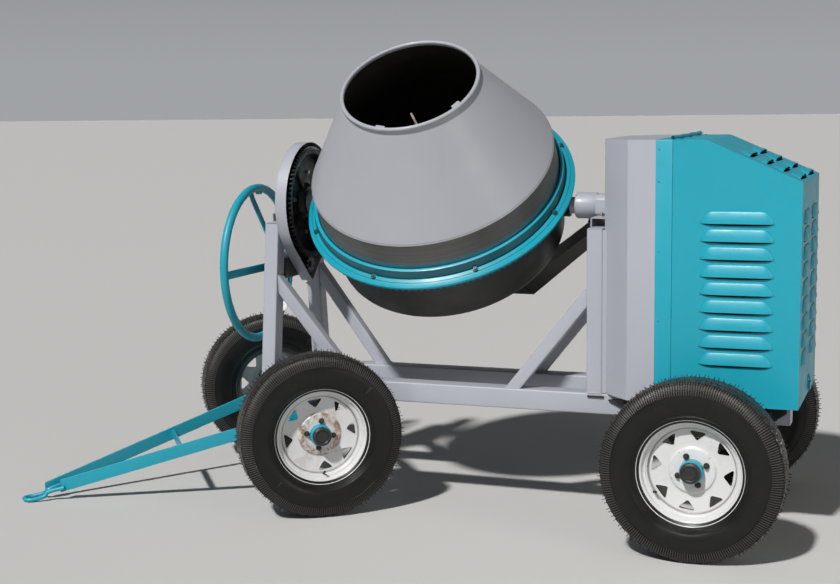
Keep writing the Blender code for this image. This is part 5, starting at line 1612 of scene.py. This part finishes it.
def add_hood():
    """Folded hood with slots and pressed louvres, its hinge and latch, and a dark sheet inside as painted
    shade behind the slots.
    """
    left = SEAM + 0.0012
    path = bent(hood_profile(), 0.005, 5)
    inner = bent(hood_profile(SHEET), 0.004, 5)
    bm = bmesh.new()
    rows = []
    for points, y in ((path, HALF), (path, -HALF), (inner, -HALF), (inner, HALF)):
        rows.append([bm.verts.new((x, y, z)) for x, z in points])
    skin(bm, rows, True, closed_loop=False)
    bm.faces.new([row[0] for row in rows])
    bm.faces.new([row[-1] for row in rows])
    for side in (-1, 1):
        outline = [(left, BOTTOM), (HOOD_END - 0.0012, BOTTOM)]
        outline += [(x - 0.0008, z - 0.0008) for x, z in path[1:-1]] + [(left, TOP - 0.0008)]
        low, high = sorted((side * (HALF - SHEET), side * (HALF - 0.0001)))
        prism(outline, low, high, "XZ", bm)
    wall = to_mesh("hood_work", bm, "teal", 30)

    run = Vector((HOOD_END - SLOPE_START, 0, END_TOP - TOP))
    down = run.normalized()
    out = Vector((-down.z, 0, down.x))
    slope_origin = Vector((SLOPE_START, 0, TOP)) + down * 0.150
    panels = []
    for side in (-1, 1):
        panels.append(((0.0960, side * HALF, 1.0985), X * -side, Z, (0, side, 0), 0.249, 9, 0.0604))
        panels.append(((HOOD_END, side * 0.130, 1.0985), Y, Z, X, 0.195, 9, 0.0604))
        panels.append((slope_origin + Y * side * 0.130, Y, -down, out, 0.190, 4, 0.0607))
    slots = bmesh.new()
    for panel in panels:
        slot_cutters(slots, *panel)
    cut = cut_out(wall, to_mesh("slots_work", slots, "teal"), crossing=True)
    cut.name = "hood_panel"
    cut.shade_smooth()
    cut.set_sharp_from_angle(angle=math.radians(30))
    put("hood_panel", cut, "engine_hood", MACHINE, ("hood",))
    bm = bmesh.new()
    for panel in panels:
        louvre_panel(bm, *panel)
    mesh = to_mesh("hood_louvres", bm, "teal", 50)
    louvres = put("hood_louvres", mesh, "engine_hood", MACHINE)
    solid = louvres.modifiers.new("sheet", "SOLIDIFY")
    solid.thickness = 0.0009
    solid.offset = -1

    knuckles, leaves = bmesh.new(), bmesh.new()
    hinge_z = TOP + 0.0065
    for y in (-0.255, -0.085, 0.085, 0.255):
        barrel = lathe([(0.0064, -0.026), (0.0072, -0.025), (0.0072, 0.025), (0.0064, 0.026)], 24)
        turned(barrel, facing((SEAM, y, hinge_z), Y))
        join(knuckles, barrel)
        for x0, x1 in ((SEAM - 0.026, SEAM - 0.0045), (SEAM + 0.0045, SEAM + 0.026)):
            prism(rounded([(x0, y - 0.022), (x1, y - 0.022), (x1, y + 0.022), (x0, y + 0.022)], 0.003, 3),
                  TOP + 0.0002, TOP + 0.0022, "XY", leaves if x0 < SEAM - 0.005 else knuckles)
    show("hood_hinge_knuckles", knuckles, "teal", 40, "engine_hood")
    show("hood_hinge_leaves", leaves, "teal", 40, "chassis")

    bm = bmesh.new()
    prism(rounded([(0.020, 0.497), (0.080, 0.497), (0.080, 0.535), (0.020, 0.535)], 0.004, 3),
          HOOD_END - 0.0005,
          HOOD_END + 0.0025, "YZ", bm)
    prism(rounded([(0.028, 0.483), (0.072, 0.483), (0.072, 0.512), (0.028, 0.512)], 0.003, 3),
          HOOD_END + 0.0030,
          HOOD_END + 0.0088, "YZ", bm)
    hex_bolt(bm, facing((HOOD_END + 0.0020, 0.050, 0.5250), X), 0.006, washer=False)
    # A dark sheet inside the hood: painted shade seen through the slots.
    shade_sheet = bmesh.new()
    corners = hood_profile(0.014, SEAM + 0.020, BOTTOM + 0.030) + [(SEAM + 0.020, BOTTOM + 0.030)]
    rows = [[shade_sheet.verts.new((x, y, z)) for x, z in corners] for y in (HALF - 0.014, 0.014 - HALF)]
    skin(shade_sheet, [row[:4] for row in rows], closed_loop=False)
    for row in rows:
        shade_sheet.faces.new(row)
    show("hood_lining", shade_sheet, "belt", 30, "engine_hood")
    show("hood_latch", bm, "teal", 40, "engine_hood")


def add_engine():
    """Paints the CAD parts that are shown as they are, and adds the air filter and bolts."""
    nodes = {
        "engine_block": "engine", "fuel_tank": "teal", "muffler": "muffler", "engine_bed": "black",
        "engine_pulley": "gear", "driven_pulley": "gear", "drive_belt": "belt", "hood_hinge_pin": "teal",
        # pinion_bearing is black as painted shade for the shaded plate.
        "pinion_bearing": "black",
    }
    for node, paint in nodes.items():
        materials = bpy.data.objects[node].data.materials
        materials.clear()
        materials.append(PAINT[paint])
    bm = bmesh.new()
    cap = lathe([(0, 1.2300), (0.030, 1.2300), (0.032, 1.2330), (0.032, 1.2480), (0.028, 1.2520),
                 (0, 1.2520)], 36,
                closed=False)
    turned(cap, Matrix.Translation((0.020, 0, 0)))
    join(bm, cap)
    filter_can = turned(lathe([(0, 0), (0.055, 0), (0.060, 0.005), (0.060, 0.060), (0.055, 0.066),
                               (0, 0.066)], 48,
                              closed=False), facing((0.040, -0.130, 0.960), -Y))
    join(bm, filter_can)
    sweep([Vector((0.040, -0.080, 0.950)), Vector((0.040, -0.131, 0.955))], circle(0.022, 24), bm)
    show("engine_air_filter", bm, "plastic", 35, "chassis")
    bm = bmesh.new()
    for y in (-0.130, 0.130):
        for x in (-0.045, 0.145):
            hex_bolt(bm, facing((x, y, 0.5100), Z, 0.3), 0.012)
    for k in range(4):
        angle = TAU * (k + 0.5) / 4
        hex_bolt(bm, facing((0.040 + 0.055 * math.cos(angle), 0.055 * math.sin(angle), 1.1000), Z), 0.0085)
    show("engine_bolts", bm, "zinc", 30, "chassis")


# ---------------------------------------------------------------- stage
def add_stage():
    """Floor, sky, sun and a fill light."""
    bm = bmesh.new()
    corners = [(-90, -90), (90, -90), (90, 90), (-90, 90)]
    bm.faces.new([bm.verts.new((x, y, -0.0004)) for x, y in corners])
    floor = bpy.data.objects.new("floor", to_mesh("floor", bm, "floor"))
    bpy.context.scene.collection.objects.link(floor)

    world = bpy.data.worlds.new("studio")
    bpy.context.scene.world = world
    world.use_nodes = True
    nodes, links = world.node_tree.nodes, world.node_tree.links
    split = nodes.new("ShaderNodeSeparateXYZ")
    links.new(nodes.new("ShaderNodeTexCoord").outputs["Generated"], split.inputs[0])
    fade = nodes.new("ShaderNodeMapRange")
    links.new(split.outputs["Z"], fade.inputs["Value"])
    for key, number in (("From Min", 0.02), ("From Max", 0.30), ("To Min", 0.38), ("To Max", 0.10)):
        fade.inputs[key].default_value = number
    background = nodes["Background"]
    background.inputs["Color"].default_value = (0.93, 0.96, 1.0, 1)
    links.new(fade.outputs[0], background.inputs["Strength"])

    def lamp(name, kind, energy, color, direction, position=(0, 0, 5), size=1.0):
        data = bpy.data.lights.new(name, kind)
        data.energy = energy
        data.color = color
        if kind == "SUN":
            data.angle = size
        else:
            data.shape = "DISK"
            data.size = size
        obj = bpy.data.objects.new(name, data)
        bpy.context.scene.collection.objects.link(obj)
        obj.location = position
        obj.rotation_euler = Vector(direction).to_track_quat("-Z", "Y").to_euler()

    lamp("key", "SUN", 4.1, (1.0, 0.98, 0.955), (0.14, 0.66, -0.74), size=math.radians(3))
    lamp("end_fill", "AREA", 40, (1.0, 0.95, 0.88), (-4.2, 3.0, -1.4), (4.8, -2.6, 2.0), 2.0)
    bpy.context.scene.view_settings.view_transform = "Standard"


def add_camera():
    """The camera that the photo was solved to."""
    azimuth, pitch, roll = math.radians(21.2652), math.radians(7.6902), math.radians(-0.8615)
    view = Vector((-math.sin(azimuth) * math.cos(pitch), math.cos(azimuth) * math.cos(pitch),
                   -math.sin(pitch)))
    right = Vector((math.cos(azimuth), math.sin(azimuth), 0))
    up = right.cross(view)
    right, up = (math.cos(roll) * right + math.sin(roll) * up, -math.sin(roll) * right + math.cos(roll) * up)
    data = bpy.data.cameras.new("camera")
    data.sensor_width = 36.0
    data.lens = 63.879
    data.shift_x = 0.0402
    data.shift_y = 0.0052
    data.clip_end = 400
    camera = bpy.data.objects.new("camera", data)
    bpy.context.scene.collection.objects.link(camera)
    rotation = Matrix((right, up, -view)).transposed().to_4x4()
    camera.matrix_world = Matrix.Translation((0.8045 + AXLE_X, -5.3684, 1.5452)) @ rotation
    bpy.context.scene.camera = camera


add_stage()
add_camera()
add_wheels()
add_drum()
add_cradle()
add_handwheel()
add_chassis()
add_front_axle()
add_towing_bar()
add_housing()
add_hood()
add_engine()
